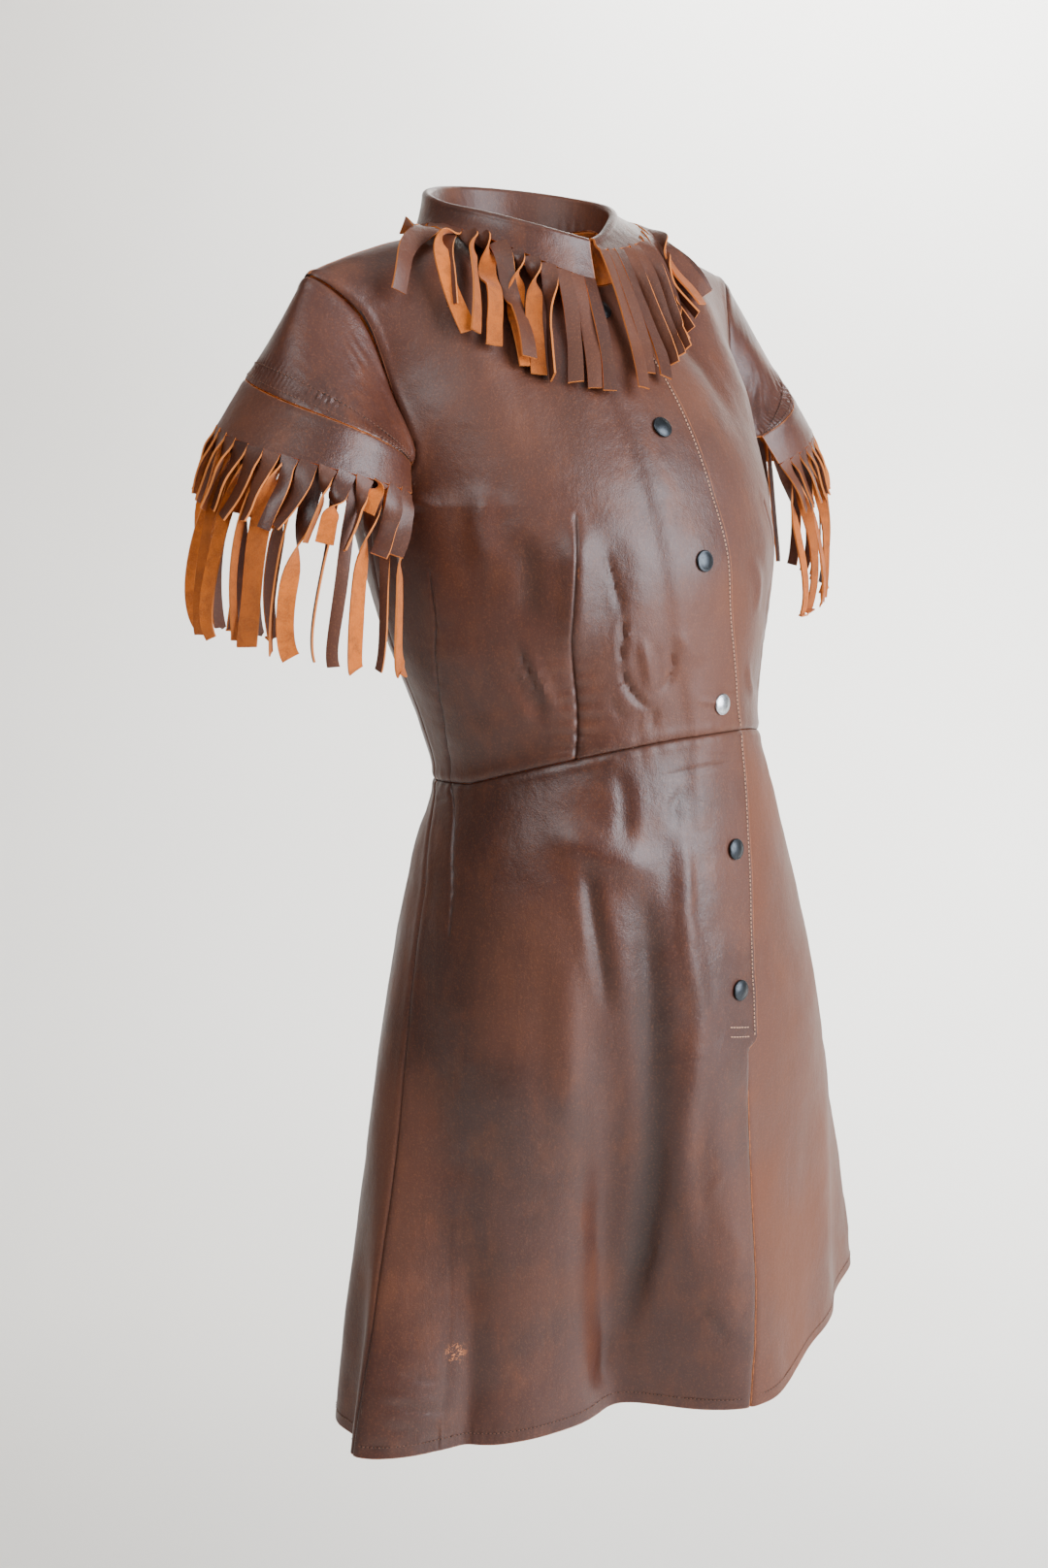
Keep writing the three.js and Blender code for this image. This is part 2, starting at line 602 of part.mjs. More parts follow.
function collarPieces() {
  // Bearings run from the left front end round the back to the right front end.
  const turn = 360 - COLLAR_END.left - COLLAR_END.right;
  const bearingAt = (u) => wrap(COLLAR_END.left + u * turn);
  const cut = 90 / NECK_COLUMNS; // bearings that the neckline below is faceted at
  const columns = [
    0,
    ...steps(cut, 360 - cut, 4 * NECK_COLUMNS - 2).map((b) => (b - COLLAR_END.left) / turn),
    1,
  ];
  // The sheet's outer face is the neck side of the stand and the upper side of the fall.
  const point = (u, w) => collar(bearingAt(u), 1 - w);
  const rows = [0, 0.15, 0.3, 0.45, 0.5, 0.55, 0.6, 0.8, 1];
  const hang = (u, k) => {
    const bearing = bearingAt(u);
    const q = Math.abs(bearing);
    const round = rad(90 - Math.abs(q - 90)); // 0 at the centre front and back, 90 degrees at the sides
    const fan = rad(72) * Math.exp(-(((q - 92) / 9) ** 2));
    const start = 14 + 8 * smooth(q / 90) + 12 * flare(bearing);
    const clear = 5 + 4.5 * Math.exp(-((q / 16) ** 2)) + 5 * Math.exp(-(((q - 92) / 12) ** 2));
    const drift = STRIP_DRIFT * Math.exp(-((bearing / 55) ** 2));
    const lying = (drop) => {
      const flat = (aside, more) => {
        const down = start * Math.cos(round) + (drop + more) * Math.cos(fan);
        const over = start * Math.sin(round) + (drop + more) * Math.sin(fan);
        return belowNeck(wrap(bearing + aside), down, over, (drop + more) * drift);
      };
      const n = flat(1.5, 0).sub(flat(-1.5, 0)).cross(flat(0, -1).sub(flat(0, 1))).normalize();
      return flat(0, 0).addScaledVector(n, clear);
    };
    const edge = collar(bearing, 1);
    const fall = edge.clone().sub(collar(bearing, 0.9)).normalize();
    const held = edge.addScaledVector(fall, 3 * SEAM).sub(lying(0));
    return lying(k * COLLAR_STRIP_LENGTH).addScaledVector(held, 1 - smooth(k * 1.6));
  };
  return [
    sheet("collar", point, () => columns, rows, { material: leather(), step: 0.002 }),
    fringe("collar_fringe", hang, FRINGE.collar, uneven(FRINGE.collar, 1), leather()),
  ];
}

function sleevePieces(side, name) {
  // u runs from the front end to the back end on the right, and the other way on the left,
  // so that it always runs the same way round seen from outside.
  const turn = (u) => (side === RIGHT ? 1 - u : u);
  const outer = (u, v) => sleeve(side, turn(u), 2 - v);
  const bandInside = (u, w) =>
    outer(u, 1 - w).addScaledVector(outward(outer, u, 1 - w, 0.004, 0.01), -WALL - 2 * SEAM);
  const shortHang = (u, k) => {
    const a = sleeveLine(side, SLEEVE.slits, turn(u));
    const b = sleeveLine(side, SLEEVE.shortEnds, turn(u));
    return mix(a, b, k + (3 * SEAM) / a.distanceTo(b));
  };
  const longHang = (u, k) => {
    const onBand = bandInside(u, 0.62 + 2.6 * k);
    const low = sleeveLine(side, SLEEVE.longEnds, turn(u));
    return mix(onBand, low, smooth((k - 0.02) / 0.98) * 0.4 + 0.6 * clamp01(k - 0.02));
  };
  const finish = { material: leather(), step: 0.01, stepUp: 0.08 };
  const columns = () => steps(0, 1, 20);
  const tier = (kind, hang, salt) => {
    const settings = FRINGE[kind];
    return fringe(`sleeve_${name}_fringe_${kind}`, hang, settings, uneven(settings, salt), leather());
  };
  return [
    sheet(`sleeve_${name}_cap`, outer, columns, steps(1.02, 1.985, 5), finish),
    sheet(`sleeve_${name}_band`, outer, columns, steps(0, 0.985, 2), finish),
    tier("short", shortHang, 4 + side),
    tier("long", longHang, 8 + side),
  ];
}

// Snap caps down the front, on the outside of the right front: the row of each, and how far it
// sits to the wearer's left of the centre front.
const SNAPS = table(
  ["row", "aside", "color"],
  [
    [13.5, -9, DARK_METAL],
    [11.2, -6.5, DARK_METAL],
    [8.9, -6.5, DARK_METAL],
    [6.56, -2.5, BRIGHT_METAL],
    [4.77, -1.5, DARK_METAL],
    [3.54, -5, DARK_METAL],
  ],
);

function snaps() {
  const { radius, height, lip } = SNAP;
  const profile = [[0, 0], [radius - 0.4, 0], [radius, lip], [radius * 0.8, height * 0.75], [0, height]];
  const shape = new THREE.LatheGeometry(profile.map(([r, h]) => new THREE.Vector2(r, h)), 12);
  return SNAPS.map(({ row, aside, color }, i) => {
    const point = (s, r) => bodice(r, s, false);
    const s = share(row, aside);
    const n = outward(point, s, row, 0.004, 0.004);
    const mesh = new THREE.Mesh(
      shape,
      new THREE.MeshStandardMaterial({ color, roughness: METAL_ROUGHNESS, metalness: 1 }),
    );
    mesh.name = `snap_${i + 1}`;
    mesh.position.copy(point(s, row)).addScaledVector(n, WALL + LAP_GAP + SNAP.gap);
    mesh.quaternion.setFromUnitVectors(vec(0, 1, 0), n);
    return mesh;
  });
}

const dress = new THREE.Group();
dress.add(
  ...frontPanels(),
  ...backPanels(),
  ...collarPieces(),
  ...sleevePieces(RIGHT, "right"),
  ...sleevePieces(LEFT, "left"),
  ...snaps(),
);

export default dress;
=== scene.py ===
"""A short-sleeved leather dress with cut leather fringe, as it hangs when worn."""

import math

import bpy
import numpy as np
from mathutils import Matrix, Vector


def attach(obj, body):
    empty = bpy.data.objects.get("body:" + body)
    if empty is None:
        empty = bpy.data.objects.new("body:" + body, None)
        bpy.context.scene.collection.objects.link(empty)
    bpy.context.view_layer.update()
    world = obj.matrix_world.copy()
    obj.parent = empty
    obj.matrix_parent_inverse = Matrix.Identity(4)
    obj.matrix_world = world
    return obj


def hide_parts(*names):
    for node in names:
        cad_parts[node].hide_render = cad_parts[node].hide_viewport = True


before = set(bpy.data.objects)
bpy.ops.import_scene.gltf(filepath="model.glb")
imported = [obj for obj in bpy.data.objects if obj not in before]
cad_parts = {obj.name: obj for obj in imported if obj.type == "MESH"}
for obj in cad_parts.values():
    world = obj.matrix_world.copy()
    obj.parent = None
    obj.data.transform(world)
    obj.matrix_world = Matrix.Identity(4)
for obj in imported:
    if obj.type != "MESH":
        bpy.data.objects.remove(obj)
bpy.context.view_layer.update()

bl_info = {
    "name": "Fringed leather dress",
    "version": (1, 0, 0),
    "blender": (4, 5, 0),
    "location": "3D View > Sidebar > Dress",
    "description": "Builds a fringed leather dress round its packed frame",
    "category": "Object",
}

# Shapes are worked out in millimetres, in the frame's axes, and meshes are made in metres.
MM = 0.001
RIGHT = -1  # the wearer's right is -X
LEFT = 1

WALL = 1.5
SEAM = 0.3
HALF_SEAM = SEAM / 2
LAP_GAP = 0.6
HEM_Z = -843
WAIST_ROW = 6
UNDERARM_ROW = 10
TOP_ROW = 14
BAR_TACK_ROW = 3.15
LIFT_START_ROW = 2.6
LAP_END_ROW = 3.08
UNDERLAP_ROW = 3.3
UNDERLAP = 16
HEM_STITCH_ROW = 0.1
LAP_STITCH_IN = 3.2


def table(columns, rows):
    """Each row as a dictionary with the named columns."""
    names = columns.split()
    return [dict(zip(names, row)) for row in rows]


# Level sections through skirt and waist: height, middle, half width, depth to the front and
# back, squareness of the oval, how far front and right side rise, and the section's turn.
BODY_COLUMNS = "z x y half front back square rise lean turn".split()
BODY = np.array(
    [
        [HEM_Z, 24, -66, 238, 146, 135, 2.15, -6, -20, 3],
        [-765, 24, -66, 225, 143, 136, 2.15, 2, -13, 3],
        [-680, 23, -66, 208, 140, 136, 2.15, 10, -6, 2],
        [-590, 20, -66, 190, 137, 134, 2.15, 12, 0, 2],
        [-500, 17, -62, 165, 134, 127, 2.1, 18, 0, 2],
        [-435, 15, -58, 144, 130, 116, 2.05, 26, 3, 3],
        [-385, 14, -52, 125, 127, 103, 2.0, 42, 6, 3],
        [-345, 13, -46, 131, 131, 103, 2.0, 36, 6, 2],
        [-290, 11, -36, 146, 141, 107, 2.05, 24, 4, 0],
        [-230, 12, -24, 158, 150, 110, 2.1, 12, 2, -2],
        [-185, 13, -14, 163, 148, 112, 2.1, 6, 0, -4],
    ]
)

# Skirt folds: bearing at the hem and where it starts, half width, depth at the hem (minus is
# inwards), height of the start, and how flat the fold is across.
FOLDS = table(
    "hem top width depth start flat",
    [
        [-50, -68, 46, -78, -400, 6],
        [-14, -46, 8, -18, -420, 2],
        [-1, -22, 9, 13, -400, 2],
        [24, 24, 13, -9, -560, 2],
        [46, 46, 9, -8, -560, 2],
        [66, 66, 9, 12, -560, 2],
        [90, 90, 10, -7, -560, 2],
        [125, 125, 18, -14, -520, 2],
        [150, 150, 12, 8, -520, 2],
        [180, 180, 16, -14, -520, 2],
        [-150, -150, 12, 8, -520, 2],
        [-125, -125, 9, 10, -560, 2],
        [-113, -113, 6, -8, -620, 2],
        [-104, -104, 6, 8, -480, 2],
    ],
)

# Rows with the bearing of the side seams, and with the reach of the right front over the left.
SIDE_SEAM = ([0, 4.7, 5.6, 6, 8, 10], [105, 105, 114, 118, 108, 90])
OVERLAP = ([3.15, 4.6, 6, 8, 10, 14], [9, 15, 22, 18, 18, 22])

# Rows with the place of each dart, as a share of the half panel from centre front to side.
SIDE_DART = (
    [4.2, 4.8, 5.6, 6, 6.65, 7.65, 8.35, 8.95],
    [0.85, 0.86, 0.852, 0.878, 0.87, 0.8, 0.765, 0.773],
)
BUST_DART = ([6, 7.4, 8.75, 10], [0.447, 0.42, 0.38, 0.347])
BACK_DART = ([4, 6, 8.6], [0.44, 0.45, 0.42])

NECK_FRONT = np.array([0, -71, -41])
NECK_BACK = np.array([2, 56, -6])
NECK_SIDE = {RIGHT: np.array([-62, 6, 0]), LEFT: np.array([62, -6, 0])}
SHOULDER_TIP = {RIGHT: np.array([-189, 10, -32]), LEFT: np.array([193, -18, -34])}
NECK_SHARE = 5 / 12
SHOULDER_CROWN = 6
NECK_TO_TIP = 0.0045
NECK_TO_UNDERARM = 0.006

# The right armhole, up the front to the shoulder tip and down the back.
ARMHOLE = np.array(
    [
        [-150, -14, -185],
        [-146, -54, -152],
        [-150, -33, -107],
        [-165, -17, -58],
        [-189, 10, -32],
        [-168, 34, -58],
        [-155, 42, -104],
        [-150, 28, -158],
        [-150, -14, -185],
    ]
)
SLEEVE_START = {"front": 0.25, "back": 0.42}

# Level lines round a sleeve: middle from the shoulder tip, half width and depth, bearings of the
# front and back ends, height of the outside, and the drop to the front and back ends.
SLEEVE = {
    name: dict(zip("x y half depth front back z front_drop back_drop".split(), row))
    for name, row in {
        "seam": [8, -8, 52, 60, 124, -122, -68, 54, 42],
        "slits": [1, -8, 70, 66, 114, -114, -98, 44, 38],
        "short_ends": [-3, -8, 84, 72, 98, -104, -146, 36, 34],
        "long_ends": [-4, -8, 90, 70, 100, -104, -228, 34, 26],
    }.items()
}
SLEEVE_SET = {
    RIGHT: {"out": 0, "back": 0, "reach": 1},
    LEFT: {"out": 6, "back": 4, "reach": 0.88},
}
SLEEVE_TOP_BEARING = -35
CAP_CROWN = 0.03

FOLD_RADIUS = 3.5
COLLAR_END = {"right": 6, "left": 1}
COLLAR_STAND_SHARE = 0.4
COLLAR_FOLD_SHARE = 0.15
COLLAR_STRIP_LENGTH = 72
STRIP_DRIFT = -0.23

FRINGE = {
    "collar": {"count": 44, "fill": 0.9, "backing": 0.0},
    "short": {"count": 22, "fill": 0.9, "backing": 0.0},
    "long": {"count": 20, "fill": 0.82, "backing": 0.04},
}


def unit(v):
    return v / np.maximum(np.linalg.norm(v, axis=-1, keepdims=True), 1e-9)


def lerp(a, b, k):
    return a + (b - a) * k


def mix(a, b, k):
    """Points between points a and b, k of the way."""
    return a + (b - a) * np.asarray(k, float)[..., None]


def smooth(x):
    x = np.clip(x, 0, 1)
    return x * x * (3 - 2 * x)


def wrap(bearing):
    return (bearing + 180) % 360 - 180


def vec(x, y, z):
    return np.stack(np.broadcast_arrays(x, y, z), -1).astype(float)


def mirrored(side, p):
    return p * np.array([1.0 if side == RIGHT else -1.0, 1.0, 1.0])


def pick(mask, a, b):
    """Points a where the mask holds, and b elsewhere."""
    return np.where(np.asarray(mask)[..., None], a, b)


def scatter(i, salt):
    """An even but irregular number from 0 to 1 for each whole number."""
    s = math.sin(i * 12.9898 + salt * 78.233) * 43758.5453
    return s - math.floor(s)


def between(rows, v):
    """A smooth curve through the rows of numbers, at v rows along."""
    v = np.asarray(v, float)
    i = np.clip(np.floor(v).astype(int), 0, len(rows) - 2)
    t = (v - i)[..., None]
    p1, p2 = rows[i], rows[i + 1]
    p0 = pick(i > 0, rows[np.maximum(i - 1, 0)], 2 * p1 - p2)
    p3 = pick(i < len(rows) - 2, rows[np.minimum(i + 2, len(rows) - 1)], 2 * p2 - p1)
    square = 2 * p0 - 5 * p1 + 4 * p2 - p3
    cube = -p0 + 3 * p1 - 3 * p2 + p3
    return 0.5 * (2 * p1 + (p2 - p0) * t + square * t**2 + cube * t**3)


def fold_depth(bearing, z):
    depth = np.zeros(np.shape(z))
    for fold in FOLDS:
        fallen = (fold["start"] - z) / (fold["start"] - HEM_Z)
        away = wrap(bearing - lerp(fold["top"], fold["hem"], fallen))
        across = np.exp(-(np.abs(away / fold["width"]) ** fold["flat"]))
        depth = depth + fold["depth"] * across * smooth(fallen) ** 1.2
    return depth


def body(row, bearing):
    """The outside of skirt and waist at a row of BODY and a bearing."""
    row, bearing = np.broadcast_arrays(np.asarray(row, float), np.asarray(bearing, float))
    z, x0, y0, half, front, back, square, rise, lean, turn = np.moveaxis(between(BODY, row), -1, 0)
    s, c = np.sin(np.radians(bearing)), np.cos(np.radians(bearing))
    depth = np.where(c > 0, front, back)
    x = half * np.sign(s) * np.abs(s) ** (2 / square)
    y = -depth * np.sign(c) * np.abs(c) ** (2 / square)
    fold = fold_depth(bearing, z)
    nx, ny = x / half**2, y / depth**2
    n = np.hypot(nx, ny) + 1e-9
    x, y = x + fold * nx / n, y + fold * ny / n
    z = z + rise * np.where(c > 0, c, 0.3 * c) - lean * s
    cos, sin = np.cos(np.radians(turn)), np.sin(np.radians(turn))
    return vec(x0 + x * cos - y * sin, y0 + x * sin + y * cos, z)


def armhole(side, t, back):
    """The armhole edge of the front or back panel, t from under the arm to the shoulder tip."""
    tip = (len(ARMHOLE) - 1) // 2
    under = mirrored(side, ARMHOLE[0])
    top = mirrored(side, ARMHOLE[tip])
    p = mirrored(side, between(ARMHOLE, tip * (2 - t) if back else tip * t))
    t = np.asarray(t)[..., None]
    return p + (body(UNDERARM_ROW, 90 * side) - under) * (1 - t) + (SHOULDER_TIP[side] - top) * t


def top_line(s, back):
    """The neckline and then the shoulder seam, s from -1 to 1 across the dress."""
    q = np.abs(s)
    neck_side = pick(s < 0, NECK_SIDE[RIGHT], NECK_SIDE[LEFT])
    tip = pick(s < 0, SHOULDER_TIP[RIGHT], SHOULDER_TIP[LEFT])
    middle = NECK_BACK if back else NECK_FRONT
    a = np.clip(q / NECK_SHARE, 0, 1) * math.pi / 2
    neck = vec(
        lerp(middle[0], neck_side[..., 0], np.sin(a)),
        lerp(neck_side[..., 1], middle[1], np.cos(a)),
        middle[2] * np.maximum(0, np.cos(a)) ** 1.3,
    )
    k = np.clip((q - NECK_SHARE) / (1 - NECK_SHARE), 0, 1)
    shoulder = mix(neck_side, tip, k) + vec(0, 0, SHOULDER_CROWN * np.sin(math.pi * k))
    return pick(q < NECK_SHARE, neck, shoulder)


def chest(s, t, back):
    """A smooth surface from the underarm level up to the neckline and shoulders."""
    bearing = 180 - 90 * s if back else 90 * s
    low = body(UNDERARM_ROW, bearing)
    up = unit(low - body(UNDERARM_ROW - 0.02, bearing))
    top = top_line(s, back)
    reach = np.linalg.norm(top - low, axis=-1)[..., None]
    to_back = -1 if back else 1
    at_neck = np.array([0, 0.62 * to_back, 0.78]) * reach * 1.05
    at_shoulder = np.array([0, to_back, 0]) * reach * 1.15
    at_top = mix(at_neck, at_shoulder, smooth((np.abs(s) - 0.3) / 0.25))
    t = np.asarray(t)[..., None]
    return (
        low * (2 * t**3 - 3 * t**2 + 1)
        + up * (t**3 - 2 * t**2 + t) * reach
        + top * (-2 * t**3 + 3 * t**2)
        + at_top * (t**3 - t**2)
    )


BLEND_MIDDLE, BLEND_SIDE = 0.22, 0.05  # shares of the yoke over which it leaves the bodice below


def yoke(s, t, back):
    """The bodice above the underarm, drawn in to the armhole at its sides."""
    s, t = np.broadcast_arrays(np.asarray(s, float), np.asarray(t, float))
    near = smooth((np.abs(s) - 0.35) / 0.65)
    edge = pick(s < 0, armhole(RIGHT, t, back), armhole(LEFT, t, back))
    flat = chest(s, t, back)
    begin = 1 - np.exp(-np.maximum(t, 0) / lerp(BLEND_MIDDLE, BLEND_SIDE, near))
    return flat + (edge - flat) * (near * begin)[..., None]


def dress(row, s, back):
    """The outside of the dress: row 0 is the hem, 6 the waist, 10 the underarm and 14 the top."""
    row, s = np.broadcast_arrays(np.asarray(row, float), np.asarray(s, float))
    seam = np.interp(row, *SIDE_SEAM)
    low = body(np.minimum(row, UNDERARM_ROW), 180 - (180 - seam) * s if back else seam * s)
    t = (row - UNDERARM_ROW) / (TOP_ROW - UNDERARM_ROW)
    return pick(row > UNDERARM_ROW, yoke(s, np.maximum(t, 0), back), low)


def sleeve_head(side, u):
    """The seam between sleeve and bodice, u from its front end to its back end."""
    front = armhole(side, lerp(SLEEVE_START["front"], 1, 1 - np.abs(2 * u - 1)), False)
    back = armhole(side, lerp(SLEEVE_START["back"], 1, 1 - np.abs(2 * u - 1)), True)
    return pick(u > 0.5, back, front)


def sleeve_line(side, name, u):
    line, fit = SLEEVE[name], SLEEVE_SET[side]
    u = np.asarray(u, float)
    bearing = lerp(line["front"], line["back"], u) * fit["reach"]
    a = np.radians(bearing)
    top = SLEEVE_TOP_BEARING
    to_front = np.clip((bearing - top) / (line["front"] - top), 0, 1) ** 1.3
    to_back = np.clip((top - bearing) / (top - line["back"]), 0, 1) ** 1.3
    drop = np.where(bearing > top, line["front_drop"] * to_front, line["back_drop"] * to_back)
    tip = mirrored(side, SHOULDER_TIP[side])
    return mirrored(
        side,
        vec(
            tip[0] + line["x"] - fit["out"] - line["half"] * np.cos(a),
            tip[1] + line["y"] + fit["back"] - line["depth"] * np.sin(a),
            tip[2] + line["z"] - drop,
        ),
    )


def sleeve(side, u, w):
    """The sleeve's outside: w is 0 at the armhole, 1 at the band seam, 2 at the slits."""
    u, w = np.broadcast_arrays(np.asarray(u, float), np.asarray(w, float))
    a, b = sleeve_head(side, u), sleeve_line(side, "seam", u)
    tip = SHOULDER_TIP[side]
    p = mix(a, b, w)
    out = unit(p - np.array([tip[0] * 0.8, tip[1] - 8, tip[2] - 38]))
    crown = np.sin(math.pi * np.clip(w, 0, 1)) * np.linalg.norm(b - a, axis=-1) * CAP_CROWN
    cap = p + out * crown[..., None]
    return pick(w < 1, cap, mix(b, sleeve_line(side, "slits", u), w - 1))


def neckline(bearing):
    """The neckline at a bearing from the centre front, plus towards the wearer's left."""
    q = np.abs(bearing)
    side = np.where(bearing < 0, RIGHT, LEFT)
    back = top_line((180 - q) / 90 * NECK_SHARE * side, True)
    return pick(q > 90, back, top_line(q / 90 * NECK_SHARE * side, False))


def out_of_neck(bearing):
    run = neckline(wrap(bearing + 1)) - neckline(wrap(bearing - 1))
    return unit(vec(run[..., 1], -run[..., 0], 0))


def on_left(bearing, middle, width):
    there = np.asarray(bearing) > -COLLAR_END["right"] / 2
    return np.where(there, np.exp(-(((bearing - middle) / width) ** 2)), 0)


def flare(bearing):
    """The collar flares away from the shoulder on the wearer's left."""
    return on_left(bearing, 70, 42)


def collar(bearing, w):
    """The collar: w is 0 at the neck seam and 1 at the lower edge of the fall."""
    bearing, w = np.broadcast_arrays(np.asarray(bearing, float), np.asarray(w, float))
    q = np.abs(bearing)
    seam = neckline(bearing)
    fold_rise = 40 * ((1 - np.cos(np.radians(bearing))) / 2 + 1e-9) ** 0.65
    fold_z = -8 + fold_rise + 4 * on_left(bearing, 55, 45)
    fold_out = -5 + 10 * smooth(q / 110) - 8 * on_left(bearing, 38, 38)
    edge_fall = 38 * smooth(q / 95) - 5 * smooth((q - 95) / 85)
    edge_z = -35 + edge_fall + 4 * flare(bearing) + 20 * on_left(bearing, 0, 42)
    edge_spread = 9 * smooth(q / 90) - 2 * smooth((q - 90) / 90)
    edge_out = 8 + edge_spread + 15 * flare(bearing) - 9 * on_left(bearing, 30, 40)
    stand_top = fold_z - FOLD_RADIUS
    fall_start = COLLAR_STAND_SHARE + COLLAR_FOLD_SHARE
    foot = seam[..., 2] + 2 * SEAM + 1.2 * np.exp(-((bearing / 35) ** 2))
    stand = np.clip(w / COLLAR_STAND_SHARE, -0.05, 1)
    turn = np.clip((w - COLLAR_STAND_SHARE) / COLLAR_FOLD_SHARE, 0, 1) * math.pi
    fall = np.clip((w - fall_start) / (1 - fall_start), 0, 1.1)
    parts = [w < COLLAR_STAND_SHARE, w < fall_start]
    out = np.select(
        parts,
        [fold_out * np.maximum(0, stand) ** 1.2, fold_out + FOLD_RADIUS * (1 - np.cos(turn))],
        lerp(fold_out + 2 * FOLD_RADIUS, edge_out, fall**1.4),
    )
    z = np.select(
        parts,
        [lerp(foot, stand_top, stand), stand_top + FOLD_RADIUS * np.sin(turn)],
        lerp(stand_top, edge_z, fall),
    )
    p = seam + out_of_neck(bearing) * out[..., None]
    return vec(p[..., 0], p[..., 1], z)


def below_neck(bearing, down, over, aside):
    """The bodice below the neckline: distances down it, out along the shoulder, and to the left."""
    side = np.where(bearing < 0, RIGHT, LEFT)
    q = np.abs(bearing)
    s = (np.where(q > 90, 180 - q, q) / 90 * NECK_SHARE + over * NECK_TO_TIP) * side
    s = s + aside * NECK_TO_TIP
    t = 1 - down * NECK_TO_UNDERARM
    return pick(q > 90, yoke(s, t, True), yoke(s, t, False))


def share(row, mm):
    """Millimetres at the centre front as a share of the half panel."""
    half = between(BODY, np.minimum(row, UNDERARM_ROW))[..., BODY_COLUMNS.index("half")]
    return mm / half * (90 / np.interp(row, *SIDE_SEAM)) * (2 / math.pi)


def ramp(row, start, end):
    return smooth((row - start) / (end - start))


def lap_edge(row):
    """The edge of the right front: past the centre in the open part, short of it below."""
    over = np.interp(row, *OVERLAP) * ramp(row, LAP_END_ROW, BAR_TACK_ROW)
    return np.where(over > 0, share(row, over), -share(row, HALF_SEAM))


def under_edge(row):
    under = UNDERLAP * ramp(row, BAR_TACK_ROW, UNDERLAP_ROW)
    return np.where(under > 0, -share(row, under), share(row, HALF_SEAM))


def side_edge(row):
    return 1 - share(row, HALF_SEAM)


def lap_lift(s, row):
    """How far the right front rises where it lies on the left one."""
    column = NECK_SHARE / 8
    return (WALL + LAP_GAP) * smooth((s + 3 * column) / column) * ramp(row, LIFT_START_ROW, LAP_END_ROW)


def noise(points, size, seed=0):
    """Smooth noise from -1 to 1 over space, with features of that size in millimetres."""
    p = points / size + 100.5 + 17.31 * seed
    cell = np.floor(p).astype(np.int64)
    f = smooth(p - cell)
    total = 0
    for corner in np.ndindex(2, 2, 2):
        key = (cell + corner) * np.array([73856093, 19349663, 83492791])
        h = (key[..., 0] ^ key[..., 1] ^ key[..., 2]) & 0x7FFFFFFF
        h = ((h ^ (h >> 13)) * 1274126177) & 0x7FFFFFFF
        value = (h >> 8) % 4096 / 2048 - 1
        weight = np.prod(np.where(np.array(corner) == 1, f, 1 - f), -1)
        total = total + value * weight
    return total


class Track:
    """A line over the leather, to measure how far points lie from it and along it."""

    def __init__(self, points):
        self.a, self.b = points[:-1], points[1:]
        self.run = self.b - self.a
        self.long = np.maximum(np.linalg.norm(self.run, axis=-1), 1e-6)
        self.start = np.concatenate([[0], np.cumsum(self.long)[:-1]])
        self.length = self.long.sum()

    def near(self, points, reach):
        """Which points lie within reach, their distances and how far along they are."""
        low = np.minimum(self.a.min(0), self.b.min(0)) - reach
        high = np.maximum(self.a.max(0), self.b.max(0)) + reach
        inside = np.all((points > low) & (points < high), -1)
        p = points[inside]
        best = np.full(len(p), 1e9)
        along = np.zeros(len(p))
        for a, run, long, start in zip(self.a, self.run, self.long, self.start):
            k = np.clip((p - a) @ run / long**2, 0, 1)
            d = np.linalg.norm(p - a - k[:, None] * run, axis=-1)
            closer = d < best
            best = np.where(closer, d, best)
            along = np.where(closer, start + k * long, along)
        return inside, best, along


def curve(rows, shares, back, count=40):
    """A line over the dress through rows and shares of the half panel."""
    t = np.linspace(0, 1, count)
    through = between(np.array([rows, shares], float).T, t * (len(rows) - 1))
    return dress(through[:, 0], through[:, 1], back)


